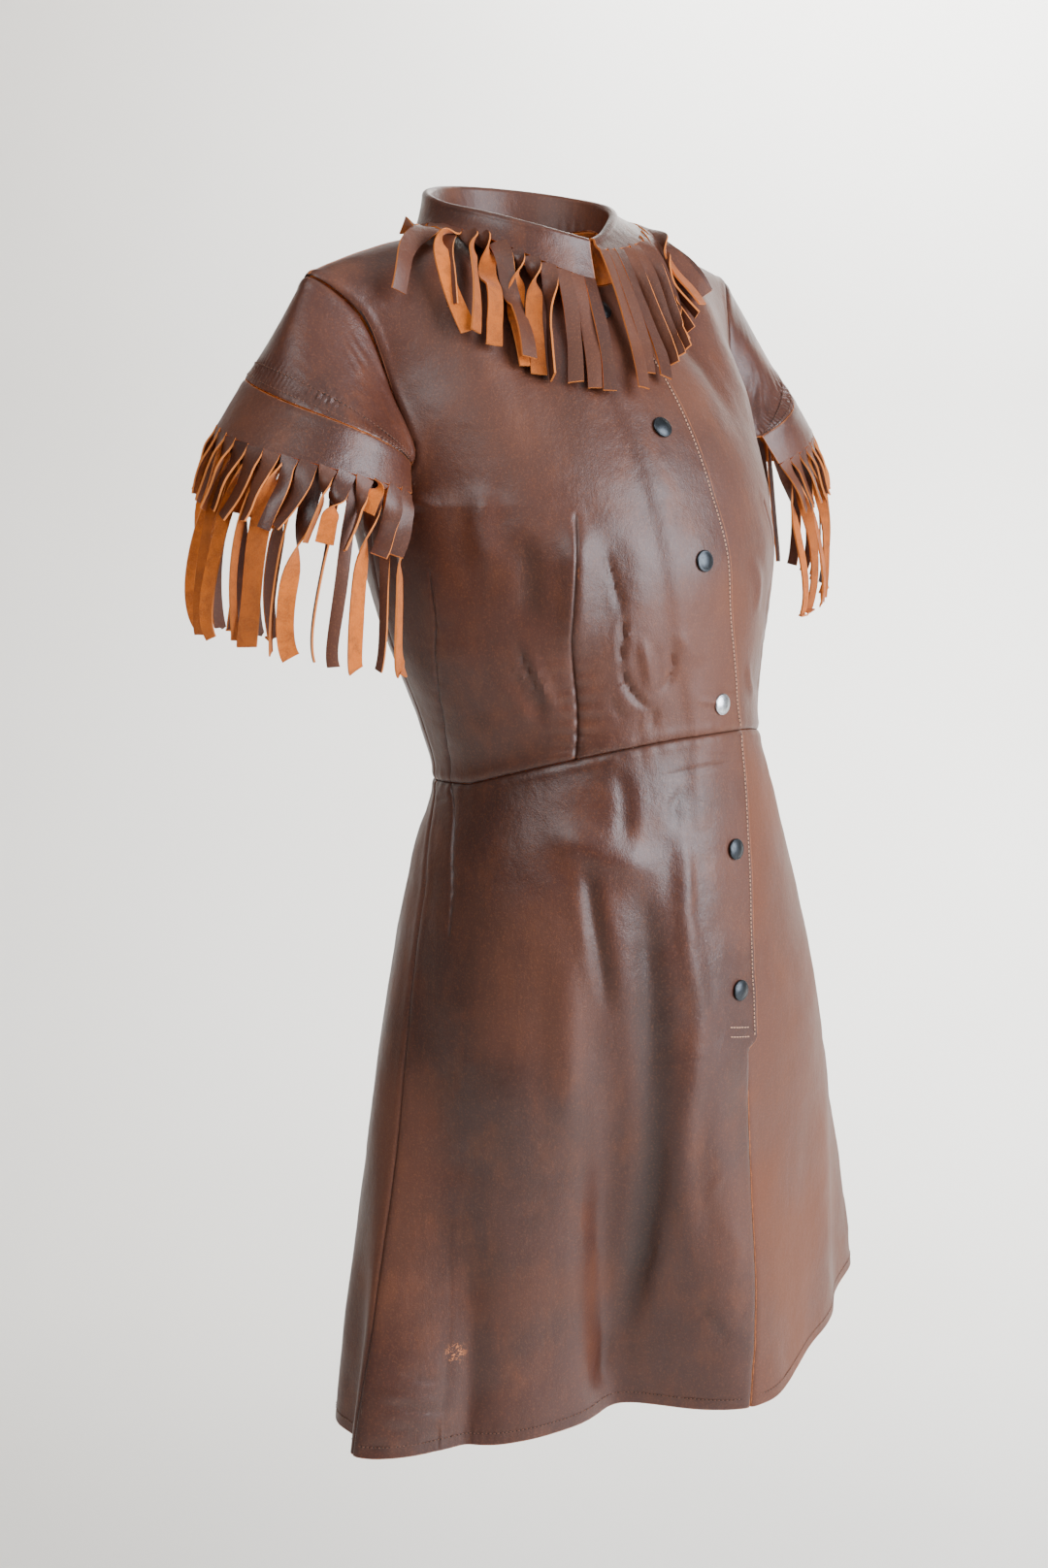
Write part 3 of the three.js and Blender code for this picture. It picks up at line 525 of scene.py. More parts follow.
# Creases that the leather holds: three places on it as row and share of the half panel (minus
# is the wearer's right), half width and depth (minus is a ridge).
CREASES_FRONT = table(
    "r1 s1 r2 s2 r3 s3 width depth",
    [
        # The front plane turns to the side at the right bust dart
        [9.9, -0.345, 8.9, -0.37, 7.6, -0.4, 15, -4.5],
        [9.6, -0.26, 8.8, -0.27, 7.9, -0.28, 14, 1.5],
        # Between the dart and the lap
        [9.3, -0.295, 8.7, -0.278, 8.15, -0.262, 3.5, 1.6],
        [8.3, -0.262, 7.9, -0.275, 7.42, -0.298, 3, 2.4],
        [7.6, -0.295, 7.1, -0.283, 6.62, -0.232, 3.2, 2.8],
        [6.75, -0.232, 6.5, -0.232, 6.2, -0.238, 3.5, 1.8],
        [7.8, -0.144, 7.3, -0.16, 6.9, -0.205, 3.5, 1.8],
        [7.95, -0.225, 7.4, -0.225, 6.95, -0.235, 5, -2.2],
        [8.0, -0.13, 7.6, -0.09, 7.4, -0.06, 6, -0.9],
        [7.1, -0.34, 6.8, -0.33, 6.5, -0.3, 4, 1.0],
        [6.8, -0.1, 6.65, -0.05, 6.6, 0.02, 3, -0.8],
        [6.95, -0.03, 6.85, 0.03, 6.85, 0.08, 2.5, 0.8],
        # Between the dart and the side
        [10.3, -0.6, 9.5, -0.615, 8.7, -0.58, 12, -3],
        [9.7, -0.51, 8.9, -0.495, 8.1, -0.5, 12, 3],
        [8.15, -0.543, 7.5, -0.53, 6.7, -0.507, 3.5, 2.4],
        [8.0, -0.515, 7.4, -0.5, 6.8, -0.48, 4.5, -1.8],
        [7.8, -0.583, 7.3, -0.545, 6.6, -0.515, 3.5, 2.0],
        [7.6, -0.62, 7.2, -0.585, 6.7, -0.555, 5, -1.6],
        # From the right underarm
        [10.6, -0.99, 10.1, -0.9, 9.7, -0.8, 6, 1.8],
        [10.9, -0.97, 10.3, -0.86, 9.9, -0.72, 6, -1.4],
        [10.3, -0.99, 9.8, -0.92, 9.3, -0.87, 5, -1.2],
        [11.3, -0.98, 11.2, -0.88, 11.0, -0.8, 5, 1.0],
        # Right skirt: the fold beside the centre front, and the soft one to its left
        [5.3, -0.17, 4.3, -0.163, 3.2, -0.118, 11, -3.6],
        [3.7, -0.128, 2.4, -0.134, 1.0, -0.075, 12, -3],
        [4.8, -0.3, 3.6, -0.235, 2.5, -0.19, 15, 5],
        [3.3, -0.22, 1.8, -0.168, 0.4, -0.15, 14, 5],
        [5.1, -0.46, 4.3, -0.41, 3.4, -0.33, 8, 3.5],
        [5.3, -0.57, 4.97, -0.4, 4.65, -0.22, 17, -3.5],
        [4.3, -0.5, 3.4, -0.45, 2.4, -0.4, 16, -3],
        [1.15, -0.09, 0.86, -0.058, 0.6, -0.03, 5, 2],
        [5.9, -0.36, 5.5, -0.33, 4.9, -0.34, 8, 1.6],
        [5.8, -0.1, 5.72, -0.03, 5.75, 0.07, 2.5, 0.7],
        [5.6, -0.27, 5.63, -0.1, 5.66, 0.09, 2.4, 1.0],
        [5.5, -0.14, 5.3, -0.19, 5.0, -0.17, 7, 1.2],
        [2.2, -0.05, 2.0, -0.08, 1.8, -0.06, 4, -0.9],
        [1.8, -0.06, 1.5, -0.03, 1.25, -0.04, 5, -0.9],
        [0.75, -0.2, 0.5, -0.19, 0.25, -0.2, 7, 1.2],
        [0.5, -0.97, 0.4, -0.9, 0.3, -0.82, 3.5, 0.9],
        [0.6, -0.96, 0.5, -0.91, 0.45, -0.86, 3, -0.8],
        [0.75, -0.95, 0.66, -0.9, 0.62, -0.84, 4, 0.7],
        [0.3, -0.96, 0.22, -0.9, 0.2, -0.84, 3, 0.6],
        [0.95, -0.86, 0.6, -0.85, 0.2, -0.85, 6, 0.7],
        [5.74, -0.98, 5.75, -0.93, 5.78, -0.88, 2, 0.8],
        # Left front
        [7.9, 0.3, 7.2, 0.31, 6.6, 0.25, 6, 2.2],
        [8.6, 0.34, 8.0, 0.33, 7.4, 0.36, 5, 1.3],
        [7.4, 0.16, 7.0, 0.17, 6.6, 0.22, 6, -1.5],
        [8.9, 0.16, 8.5, 0.22, 8.0, 0.2, 8, -1.6],
        [7.6, 0.62, 7.0, 0.57, 6.5, 0.55, 6, 1.8],
        [10.6, 0.99, 10.1, 0.9, 9.6, 0.82, 6, 1.6],
        [10.9, 0.97, 10.4, 0.86, 10.0, 0.75, 6, -1.2],
        [5.85, 0.3, 5.5, 0.34, 5.0, 0.34, 8, 1.4],
        [3.9, 0.06, 3.75, 0.08, 3.6, 0.07, 3, 0.7],
        [3.7, 0.07, 3.5, 0.1, 3.3, 0.08, 3, -0.7],
        [4.4, 0.5, 3.0, 0.48, 1.5, 0.47, 12, 1.6],
        [1.2, 0.35, 0.8, 0.37, 0.3, 0.36, 7, 1.2],
        [0.9, 0.62, 0.6, 0.6, 0.2, 0.62, 7, -1.2],
    ],
)
CREASES_BACK = table(
    "r1 s1 r2 s2 r3 s3 width depth",
    [
        [8.2, 0.2, 7.4, 0.17, 6.7, 0.22, 7, 1.6],
        [8.0, -0.22, 7.3, -0.17, 6.6, -0.2, 7, 1.8],
        [7.2, 0.05, 6.9, -0.02, 6.7, -0.1, 7, -1.3],
        [7.6, 0.6, 7.0, 0.66, 6.5, 0.62, 6, 1.6],
        [7.7, -0.63, 7.1, -0.6, 6.5, -0.64, 6, 1.6],
        [10.4, 0.98, 9.9, 0.86, 9.5, 0.72, 7, 1.8],
        [10.5, -0.98, 10.0, -0.86, 9.4, -0.74, 7, 1.8],
        [11.2, 0.97, 10.8, 0.83, 10.5, 0.66, 8, -1.4],
        [11.1, -0.97, 10.8, -0.83, 10.3, -0.68, 8, -1.4],
        [5.8, 0.24, 5.5, 0.18, 5.0, 0.2, 8, 1.5],
        [5.8, -0.2, 5.4, -0.24, 4.9, -0.2, 8, 1.5],
        [5.6, 0.62, 5.2, 0.66, 4.6, 0.62, 8, -1.4],
        [5.6, -0.66, 5.2, -0.6, 4.6, -0.64, 8, -1.4],
        [1.2, 0.1, 0.8, 0.12, 0.3, 0.08, 6, 1.2],
        [1.0, -0.5, 0.7, -0.47, 0.3, -0.5, 6, 1.1],
    ],
)


class Leather:
    """What stands up, sinks in, is rubbed bright or lies dark at points of a piece; the dark places hold
    seam lines and painted shade in troughs.
    """

    def __init__(self, points, softness=1.0):
        self.points = points
        self.relief = softness * (
            0.9 * noise(points, 46, 1) + 0.35 * noise(points, 19, 2) + 0.1 * noise(points, 7, 3)
        )
        self.rub = np.zeros(len(points))
        # Dark seam lines, and painted shade in creases, puckers and wrinkles.
        self.dark = np.zeros(len(points))

    def crease(self, track, width, depth):
        """A soft trough with painted shade along it, or a ridge where depth is minus, that fades out at
        its ends.
        """
        inside, away, along = track.near(self.points, 3.2 * width)
        q2 = (away / width) ** 2
        k = along / track.length
        fade = smooth(k / 0.35) * smooth((1 - k) / 0.35)
        self.relief[inside] -= depth * np.exp(-q2) * (1 - 0.9 * q2) * fade
        # Painted shade along the trough, darker for deeper creases.
        self.dark[inside] += 0.1 * min(max(depth, 0), 4) * np.exp(-1.8 * q2) * fade

    def creases(self, rows, back):
        for c in rows:
            line = curve([c["r1"], c["r2"], c["r3"]], [c["s1"], c["s2"], c["s3"]], back, 16)
            self.crease(Track(line), c["width"], c["depth"])

    def seam(self, track, groove=0.9, shoulder=0.35, light=0.35):
        """A sewn seam: a narrow groove, and the turned edges that show beside it."""
        inside, away, along = track.near(self.points, 14)
        self.relief[inside] += shoulder * np.exp(-(((away - 4.5) / 3) ** 2))
        self.relief[inside] -= groove * np.exp(-((away / 0.9) ** 2))
        self.dark[inside] += 0.9 * np.exp(-((away / 0.55) ** 2))
        uneven = 0.5 + 0.5 * noise(self.points[inside], 9, 8)
        self.rub[inside] += light * np.exp(-(((away - 1.5) / 0.7) ** 2)) * uneven

    def valley(self, track, reach, depth, start=0.0, end=1.0):
        """The cloth on both sides slopes in to a line."""
        inside, away, along = track.near(self.points, 4 * reach)
        k = along / track.length
        fade = smooth((k - start) / 0.15 + 0.5) * smooth((end - k) / 0.3 + 0.5)
        self.relief[inside] -= depth * np.exp(-away / reach) * fade

    def puckers(self, track, pitch, reach, depth, start=0.0, end=1.0):
        """Small ripples across a stitched line, uneven in spacing, between two shares of it, with
        painted shade in their troughs.
        """
        inside, away, along = track.near(self.points, 4 * reach)
        k = along / track.length
        fade = smooth((k - start) / 0.08 + 0.5) * smooth((end - k) / 0.08 + 0.5)
        drift = 1.6 * np.sin(along / pitch / 3.1) + 0.9 * np.sin(along / pitch / 1.7 + 2)
        size = 0.65 + 0.35 * np.sin(along / pitch / 2.3 + 1)
        ripple = np.sin(2 * math.pi * along / pitch + drift) * size
        ripple *= np.exp(-((away / reach) ** 1.5)) * fade
        self.relief[inside] += depth * ripple
        # Painted shade in the troughs of the ripples.
        self.dark[inside] += 0.12 * np.maximum(-ripple, 0)

    def wrinkles(self, a, b, pitch, depth, centre, reach):
        """Fine wrinkles that run from a to b, round a centre, with painted shade in their troughs."""
        run = unit(b - a)
        across = unit(np.cross(run, unit(centre - np.array([centre[0] * 0.8, 0, centre[2]]))))
        far = np.linalg.norm(self.points - centre, axis=-1)
        wave = self.points @ across / pitch + 1.1 * noise(self.points, 34, 11)
        ripple = np.sin(2 * math.pi * wave) * smooth(0.5 + 0.9 * noise(self.points, 17, 12))
        ripple *= np.exp(-((far / reach) ** 2))
        self.relief += depth * ripple
        # Painted shade in the troughs of the wrinkles.
        self.dark += 0.2 * np.maximum(-ripple, 0)

    def marks(self, rim, tone=(0.0, 0.0)):
        """Where the leather is rubbed bright, dark or rusty, with painted shade in its hollows, from 0
        to 1 at each point.
        """
        points, shape = self.points, rim.shape
        high = np.clip(self.relief / 2.5, 0, 1).reshape(shape)
        low = np.clip(-self.relief / 2.5, 0, 1).reshape(shape)
        cloud = smooth(noise(points, 90, 6) * 0.9).reshape(shape)
        rust = smooth(noise(points, 70, 7) * 1.2).reshape(shape)
        speckle = 0.5 + noise(points, 14, 5).reshape(shape)
        rub = 0.75 * np.exp(-rim / 0.8) + 0.16 * high * speckle + self.rub.reshape(shape)
        # shade: painted shade in hollows (low), dye clouds, the seam lines and painted shade of creases,
        # puckers and wrinkles (dark), and the panel's tone.
        shade = 0.3 * low + 0.22 * cloud + self.dark.reshape(shape) + tone[0]
        return {
            "rub": np.clip(rub, 0, 1),
            "shade": np.clip(shade, 0, 1),
            "tan": np.clip(0.35 * rust + tone[1], 0, 1),
        }


def dart_track(dart, side, back, low, high):
    rows = np.linspace(low, high, 30)
    return Track(dress(rows, side * np.interp(rows, *dart), back))


def panel_leather(points, back):
    """The leather of skirt and bodice at those points."""
    made = Leather(points)
    made.creases(CREASES_BACK if back else CREASES_FRONT, back)
    rows = np.linspace(0, UNDERARM_ROW, 60)
    high = np.linspace(UNDERARM_ROW, TOP_ROW, 50)
    for side in (RIGHT, LEFT):
        made.seam(Track(dress(rows, np.full(60, side), back)), 0.9, 0.5, 0.25)
        made.seam(Track(dress(high, np.full(50, side), back)), 0.4, 0.8, 0.3)
        if back:
            dart = dart_track(BACK_DART, side, True, 4.3, 8.6)
            made.seam(dart, 0.9, 0.2)
            made.puckers(dart, 11, 7, 0.35)
            continue
        bust = dart_track(BUST_DART, side, False, WAIST_ROW, 9.75)
        flank = dart_track(SIDE_DART, side, False, 4.25, 8.9)
        made.seam(bust, 1.0, 0.5, 0.45)
        made.valley(bust, 9, 2.6, 0.0, 0.45)
        made.puckers(bust, 11, 12, 0.75, 0.02, 0.6)
        made.seam(flank, 0.9, 0.2, 0.15)
        made.valley(flank, 9, 1.2, 0.1, 0.8)
        made.puckers(flank, 12, 6, 0.35)
    shares = np.linspace(-1, 1, 80)
    waist = Track(dress(np.full(80, WAIST_ROW), shares, back))
    made.seam(waist, 0.8, 0.6, 0.2)
    made.valley(waist, 8, 1.6, -0.2, 1.3)
    made.puckers(waist, 13, 8, 0.4)
    made.puckers(Track(dress(np.full(80, HEM_STITCH_ROW), shares, back)), 6, 6, 0.22)
    if not back:
        corner = Track(dress(np.full(20, HEM_STITCH_ROW), np.linspace(-0.97, -0.78, 20), False))
        made.puckers(corner, 4.2, 9, 0.5)
        rows = np.linspace(0, LAP_END_ROW, 40)
        made.seam(Track(dress(rows, np.zeros(40), False)), 0.8, 0.4, 0.2)
    return made


def facing(point, s, t, ds=0.004, dt=0.004):
    """Points of a surface and the way out of it."""
    across = point(s + ds, t) - point(s - ds, t)
    up = point(s, t + dt) - point(s, t - dt)
    return point(s, t), unit(np.cross(across, up))


FINE_STEPS = np.array([0, 0.45, 1.0, 1.7, 2.6])


def spaced(length, pitch):
    """Places from 0 to 1 over a length, a pitch apart but closer near both ends."""
    if length < 4 * FINE_STEPS[-1]:
        return np.linspace(0, 1, max(3, int(length / pitch) + 2))
    ends = FINE_STEPS / length
    count = max(2, int((1 - 2 * ends[-1]) * length / pitch))
    middle = np.linspace(ends[-1], 1 - ends[-1], count + 1)
    return np.concatenate([ends[:-1], middle, 1 - ends[:-1][::-1]])


def spans(edges, lengths, pitch):
    """Columns across several spans, each closer spaced at its ends. edges are arrays by row."""
    columns = []
    for a, b, length in zip(edges[:-1], edges[1:], lengths):
        places = spaced(length, pitch)
        for k in places if not columns else places[1:]:
            columns.append(lerp(a, b, k))
    return np.stack(columns, -1)


def new_mesh(name, points, faces, face_materials, materials, attributes=None, sharp=40):
    """A mesh object in metres from points in millimetres, with a material for each face."""
    mesh = bpy.data.meshes.new(name)
    mesh.from_pydata((np.asarray(points) * MM).tolist(), [], faces)
    for material in materials:
        mesh.materials.append(material)
    mesh.polygons.foreach_set("material_index", np.asarray(face_materials, np.int32))
    mesh.polygons.foreach_set("use_smooth", np.ones(len(mesh.polygons), bool))
    for key, values in (attributes or {}).items():
        data = mesh.attributes.new(key, "FLOAT", "POINT").data
        data.foreach_set("value", np.asarray(values, np.float32))
    mesh.set_sharp_from_angle(angle=math.radians(sharp))
    mesh.validate()
    obj = bpy.data.objects.new(name, mesh)
    bpy.context.scene.collection.objects.link(obj)
    return obj


def grid_faces(rows, columns):
    """The four-sided faces of a grid of numbered points."""
    n = np.arange(rows * columns).reshape(rows, columns)
    return np.stack([n[:-1, :-1], n[:-1, 1:], n[1:, 1:], n[1:, :-1]], -1).reshape(-1, 4)


OUTER, INNER, CUT = range(3)  # the kinds of face that a sheet has


def sheet_points(outer, normals, wall):
    """The points of a sheet's outer face and then of its inner one."""
    return np.concatenate([outer.reshape(-1, 3), (outer - normals * wall).reshape(-1, 3)])


def sheet_faces(rows, columns):
    """The faces of a sheet over a grid that runs right and up, and the kind of each."""
    count = rows * columns
    front = grid_faces(rows, columns)
    back = front[:, ::-1] + count
    n = np.arange(count).reshape(rows, columns)
    loop = np.concatenate([n[0, :], n[1:, -1], n[-1, -2::-1], n[-2:0:-1, 0]])
    following = np.roll(loop, -1)
    rim = np.stack([loop, loop + count, following + count, following], -1)
    kinds = np.repeat([OUTER, INNER, CUT], [len(front), len(back), len(rim)])
    return np.concatenate([front, back, rim]), kinds


def shell(name, outer, normals, materials, attributes):
    """A sheet with an outer face, an inner one and cut edges."""
    faces, kinds = sheet_faces(*outer.shape[:2])
    both = {key: np.tile(values.reshape(-1), 2) for key, values in attributes.items()}
    points = sheet_points(outer, normals, WALL)
    return new_mesh(name, points, faces.tolist(), kinds, materials, both)


def edge_distance(outer, left=False, right=False, low=False, high=False):
    """How far each point of a grid is from the edges that are named, in millimetres."""
    across = np.linalg.norm(np.diff(outer, axis=1), axis=-1)
    up = np.linalg.norm(np.diff(outer, axis=0), axis=-1)
    zero = np.zeros
    from_left = np.concatenate([zero((len(outer), 1)), np.cumsum(across, 1)], 1)
    from_low = np.concatenate([zero((1, outer.shape[1])), np.cumsum(up, 0)], 0)
    far = np.full(outer.shape[:2], 1e3)
    for wanted, d in [
        (left, from_left),
        (right, from_left[:, -1:] - from_left),
        (low, from_low),
        (high, from_low[-1:] - from_low),
    ]:
        if wanted:
            far = np.minimum(far, d)
    return far


def cut_size(outer):
    """The flat size of a sheet: its widest row, its longest column and its area, in metres."""
    across = np.linalg.norm(np.diff(outer, axis=1), axis=-1).sum(1).max() * MM
    up = np.linalg.norm(np.diff(outer, axis=0), axis=-1).sum(0).max() * MM
    a, b = outer[1:, 1:] - outer[:-1, :-1], outer[1:, :-1] - outer[:-1, 1:]
    area = np.linalg.norm(np.cross(a, b), axis=-1).sum() / 2 * MM * MM
    return (float(across), float(up)), float(min(area, across * up))


SHEETS = []  # what each sheet of leather measures flat, and what goes with it


def finish_sheet(obj, outer, node, rests_on):
    """Sets a sheet in the frame, and notes its flat size."""
    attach(obj, "root")
    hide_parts(node)
    flat, area = cut_size(outer)
    SHEETS.append({"obj": obj, "flat": flat, "area": area, "rests_on": rests_on, "with": []})


class Term:
    """A shader value that takes part in arithmetic."""

    def __init__(self, shader, socket):
        self.shader = shader
        self.socket = socket

    def math(self, operation, a, b):
        return self.shader.node("ShaderNodeMath", {"operation": operation}, {0: a, 1: b})

    def __add__(self, other):
        return self.math("ADD", self, other)

    def __radd__(self, other):
        return self.math("ADD", other, self)

    def __sub__(self, other):
        return self.math("SUBTRACT", self, other)

    def __rsub__(self, other):
        return self.math("SUBTRACT", other, self)

    def __mul__(self, other):
        return self.math("MULTIPLY", self, other)

    def __rmul__(self, other):
        return self.math("MULTIPLY", other, self)

    def between(self, low, high):
        """0 below low, 1 above high, and smooth in between."""
        settings = {"interpolation_type": "SMOOTHSTEP"}
        return self.shader.node(
            "ShaderNodeMapRange", settings, {"Value": self, "From Min": low, "From Max": high}
        )


class Shader:
    """The nodes of one material."""

    def __init__(self, name):
        self.material = bpy.data.materials.new(name)
        self.material.use_nodes = True
        self.tree = self.material.node_tree
        self.tree.nodes.clear()
        self.output = self.tree.nodes.new("ShaderNodeOutputMaterial")

    def node(self, kind, settings=None, sockets=None, result=0):
        """A node of that type, its settings first and then its sockets; gives its result."""
        node = self.tree.nodes.new(kind)
        for key, value in (settings or {}).items():
            setattr(node, key, value)
        for key, value in (sockets or {}).items():
            socket = self.find(node.inputs, key)
            if isinstance(value, Term):
                self.tree.links.new(value.socket, socket)
            else:
                socket.default_value = value
        return Term(self, self.find(node.outputs, result))

    @staticmethod
    def find(sockets, key):
        if isinstance(key, int):
            return sockets[key]
        for socket in sockets:
            if socket.identifier == key:
                return socket
        return sockets[key]

    def blend(self, factor, a, b):
        """Colour a, and colour b where the factor is 1."""
        return self.node(
            "ShaderNodeMix",
            {"data_type": "RGBA"},
            {"Factor_Float": factor, "A_Color": a, "B_Color": b},
            "Result_Color",
        )

    def place(self, stretch=(1, 1, 1)):
        """Where a point is on the object, in metres, stretched along the axes."""
        where = self.node("ShaderNodeTexCoord", result="Object")
        if stretch == (1, 1, 1):
            return where
        return self.node("ShaderNodeVectorMath", {"operation": "MULTIPLY"}, {0: where, 1: stretch})

    def noise(self, size, detail=3.0, roughness=0.5, distortion=0.0, where=None):
        """Noise from 0 to 1 with features of about that size in millimetres."""
        return self.node(
            "ShaderNodeTexNoise",
            None,
            {
                "Vector": where or self.place(),
                "Scale": 1 / (size * MM),
                "Detail": detail,
                "Roughness": roughness,
                "Distortion": distortion,
            },
            "Fac",
        )

    def cells(self, size):
        """Distances within cells of about that size in millimetres."""
        sockets = {"Vector": self.place(), "Scale": 1 / (size * MM)}
        return self.node("ShaderNodeTexVoronoi", None, sockets, "Distance")

    def drawn(self, name):
        """A value that the mesh carries at its points."""
        return self.node("ShaderNodeAttribute", {"attribute_name": name}, result="Fac")

    def surface(self, bump=None, distance=0.0003, strength=1.0, **sockets):
        """Ends the material in one surface, with its bump in metres."""
        names = {}
        for key, value in sockets.items():
            names[key.replace("_", " ").title().replace("Ior", "IOR")] = value
        if bump is not None:
            names["Normal"] = self.node(
                "ShaderNodeBump", None, {"Strength": strength, "Distance": distance, "Height": bump}
            )
        shader = self.node("ShaderNodeBsdfPrincipled", None, names)
        self.tree.links.new(shader.socket, self.output.inputs["Surface"])
        return self.material


def linear(color):
    """A colour given as screen values from 0 to 255, as Blender's shaders take it."""
    def one(v):
        v = v / 255
        return v / 12.92 if v <= 0.04045 else ((v + 0.055) / 1.055) ** 2.4

    return tuple(one(v) for v in color) + (1.0,)


def size_property(name, description, default, least):
    description += ", in mm"
    return bpy.props.FloatProperty(name=name, description=description, default=default, min=least)


def color_property(name, description, color):
    default = linear(color)
    return bpy.props.FloatVectorProperty(
        name=name, description=description, default=default, size=4, min=0, max=1, subtype="COLOR"
    )


class DressSizes(bpy.types.PropertyGroup):
    """Sizes that a user would change."""

    pitch: size_property("Mesh spacing", "Distance between the points of a panel", 2.6, 1.5)
    stitch_pitch: size_property("Stitch pitch", "Distance from stitch to stitch", 3.0, 1.5)
    thread: size_property("Thread radius", "Radius of the sewing thread", 0.4, 0.1)
    snap_radius: size_property("Snap radius", "Radius of a snap cap", 7.5, 3.0)
    grain: size_property("Grain size", "Size of a grain cell of the leather", 0.9, 0.3)


class DressColours(bpy.types.PropertyGroup):
    """Colours that a user would change."""

    brown: color_property("Brown", "Most of the leather", (72, 38, 28))
    # Dark brown is the thick dye, the seam lines, and the colour of the painted shade in creases,
    # puckers, wrinkles and hollows.
    dark: color_property("Dark brown", "Where the dye lies thick", (44, 24, 18))
    rust: color_property("Rust", "Where the dye is thin", (102, 54, 29))
    worn: color_property("Worn", "Rubbed places and edges", (176, 104, 58))
    suede: color_property("Suede", "The inside of the leather", (194, 98, 26))
    cut: color_property("Cut edge", "The raw cut edge", (200, 116, 50))
    thread: color_property("Thread", "Sewing thread on the leather", (104, 62, 42))
    tan_thread: color_property("Tan thread", "Sewing thread along the lap", (206, 160, 130))
    gunmetal: color_property("Gunmetal", "Dark snap caps", (62, 66, 70))
    bright: color_property("Bright metal", "The bright snap cap", (205, 208, 212))
    floor: color_property("Floor", "Floor and backdrop", (240, 237, 231))


SCUFF = tuple(dress(0.84, -0.836, False) * MM)  # a small scuffed place near the hem


def leather_material(colours, sizes):
    """Smooth brown leather: clouded dye, fine grain, soft gloss, wear along its edges, and painted shade
    in its creases and hollows.
    """
    m = Shader("brown_leather")
    cloud = m.noise(110, 3, 0.5, 0.6)
    patch = m.noise(34, 4, 0.55, 0.4)
    streak = m.noise(22, 3, 0.6, 0.8, m.place((1.0, 1.0, 0.28)))
    rub = m.drawn("rub")
    color = m.blend(cloud.between(0.38, 0.66) * 0.5, colours.brown, colours.dark)
    color = m.blend((patch * streak).between(0.2, 0.46) * 0.5, color, colours.rust)
    # Darker where the shade attribute is high: dye clouds, seam lines, panel tone, and painted shade in
    # creases, puckers, wrinkles and hollows.
    color = m.blend(m.drawn("shade"), color, colours.dark)
    color = m.blend(m.drawn("tan"), color, colours.rust)
    fleck = m.noise(3.2, 3, 0.6)
    color = m.blend(((rub * 1.3) + (fleck - 0.5) * 0.9).between(0.45, 1.0) * 0.85, color, colours.worn)
    speck = m.noise(1.4, 2, 0.5)
    color = m.blend((speck.between(0.5, 0.72)) * 0.1, color, colours.worn)
    grain = m.cells(sizes.grain)
    crinkle = m.noise(11, 5, 0.6, 0.3)
    lines = m.noise(4.5, 4, 0.6, 0.5, m.place((1.0, 1.0, 0.45)))
    height = grain * 0.2 + crinkle * 1.3 + lines * 0.7
    rough = 0.27 + patch * 0.16 + fleck * 0.08 + grain * 0.05 - cloud * 0.06 + m.drawn("tan") * 0.45
    near = m.node("ShaderNodeVectorMath", {"operation": "DISTANCE"}, {0: m.place(), 1: SCUFF}, "Value")
    scuff = m.noise(2.6, 2, 0.5, 1.5).between(0.54, 0.6) * (1 - near.between(0.003, 0.011))
    color = m.blend(scuff, color, colours.worn)
    return m.surface(
        height,
        distance=0.0006,
        strength=0.6,
        base_color=color,
        roughness=rough,
        specular_ior_level=0.46,
        coat_weight=0.04,
        coat_roughness=0.25,
    )


def suede_material(colours):
    """The napped inside of the leather."""
    m = Shader("suede_inside")
    nap = m.noise(1.1, 4, 0.7)
    brush = m.noise(9, 3, 0.6, 0.6)
    color = m.blend(brush.between(0.35, 0.7) * 0.5, colours.suede, colours.rust)
    color = m.blend(nap.between(0.42, 0.62) * 0.35, color, colours.cut)
    # Tinted towards rust by the shade attribute: each strip's random tone, and on panels also seam lines
    # and painted shade.
    color = m.blend(m.drawn("shade"), color, colours.rust)
    return m.surface(
        nap + brush * 0.4,
        distance=0.0005,
        strength=0.7,
        base_color=color,
        roughness=0.92,
        specular_ior_level=0.2,
        sheen_weight=0.12,
        sheen_roughness=0.5,
    )


def cut_material(colours):
    """The raw cut edge of the leather."""
    m = Shader("cut_edge")
    fibre = m.noise(0.9, 3, 0.7)
    color = m.blend(fibre.between(0.35, 0.7) * 0.6, colours.cut, colours.suede)
    # Darkened where the shade attribute is high: seam lines, and painted shade where it is strong.
    color = m.blend(m.drawn("shade").between(0.5, 0.9), color, colours.dark)
    return m.surface(fibre, distance=0.0003, strength=0.6, base_color=color, roughness=0.85)


def thread_material(name, color):
    """Twisted sewing thread."""
    m = Shader(name)
    twist = m.noise(0.35, 2, 0.5)
    shade = m.blend(twist.between(0.3, 0.7) * 0.45, color, (0.02, 0.012, 0.008, 1))
    return m.surface(twist, distance=0.0001, strength=0.5, base_color=shade, roughness=0.7)


def metal_material(name, color, roughness):
    """Pressed metal with fine wear."""
    m = Shader(name)
    wear = m.noise(2.2, 4, 0.65)
    dull = m.blend(wear.between(0.45, 0.7) * 0.5, color, (0.02, 0.02, 0.022, 1))
    look = {"base_color": dull, "metallic": 1.0, "roughness": roughness + wear * 0.15}
    return m.surface(wear, distance=0.00006, strength=0.4, **look)


MATERIALS = {}


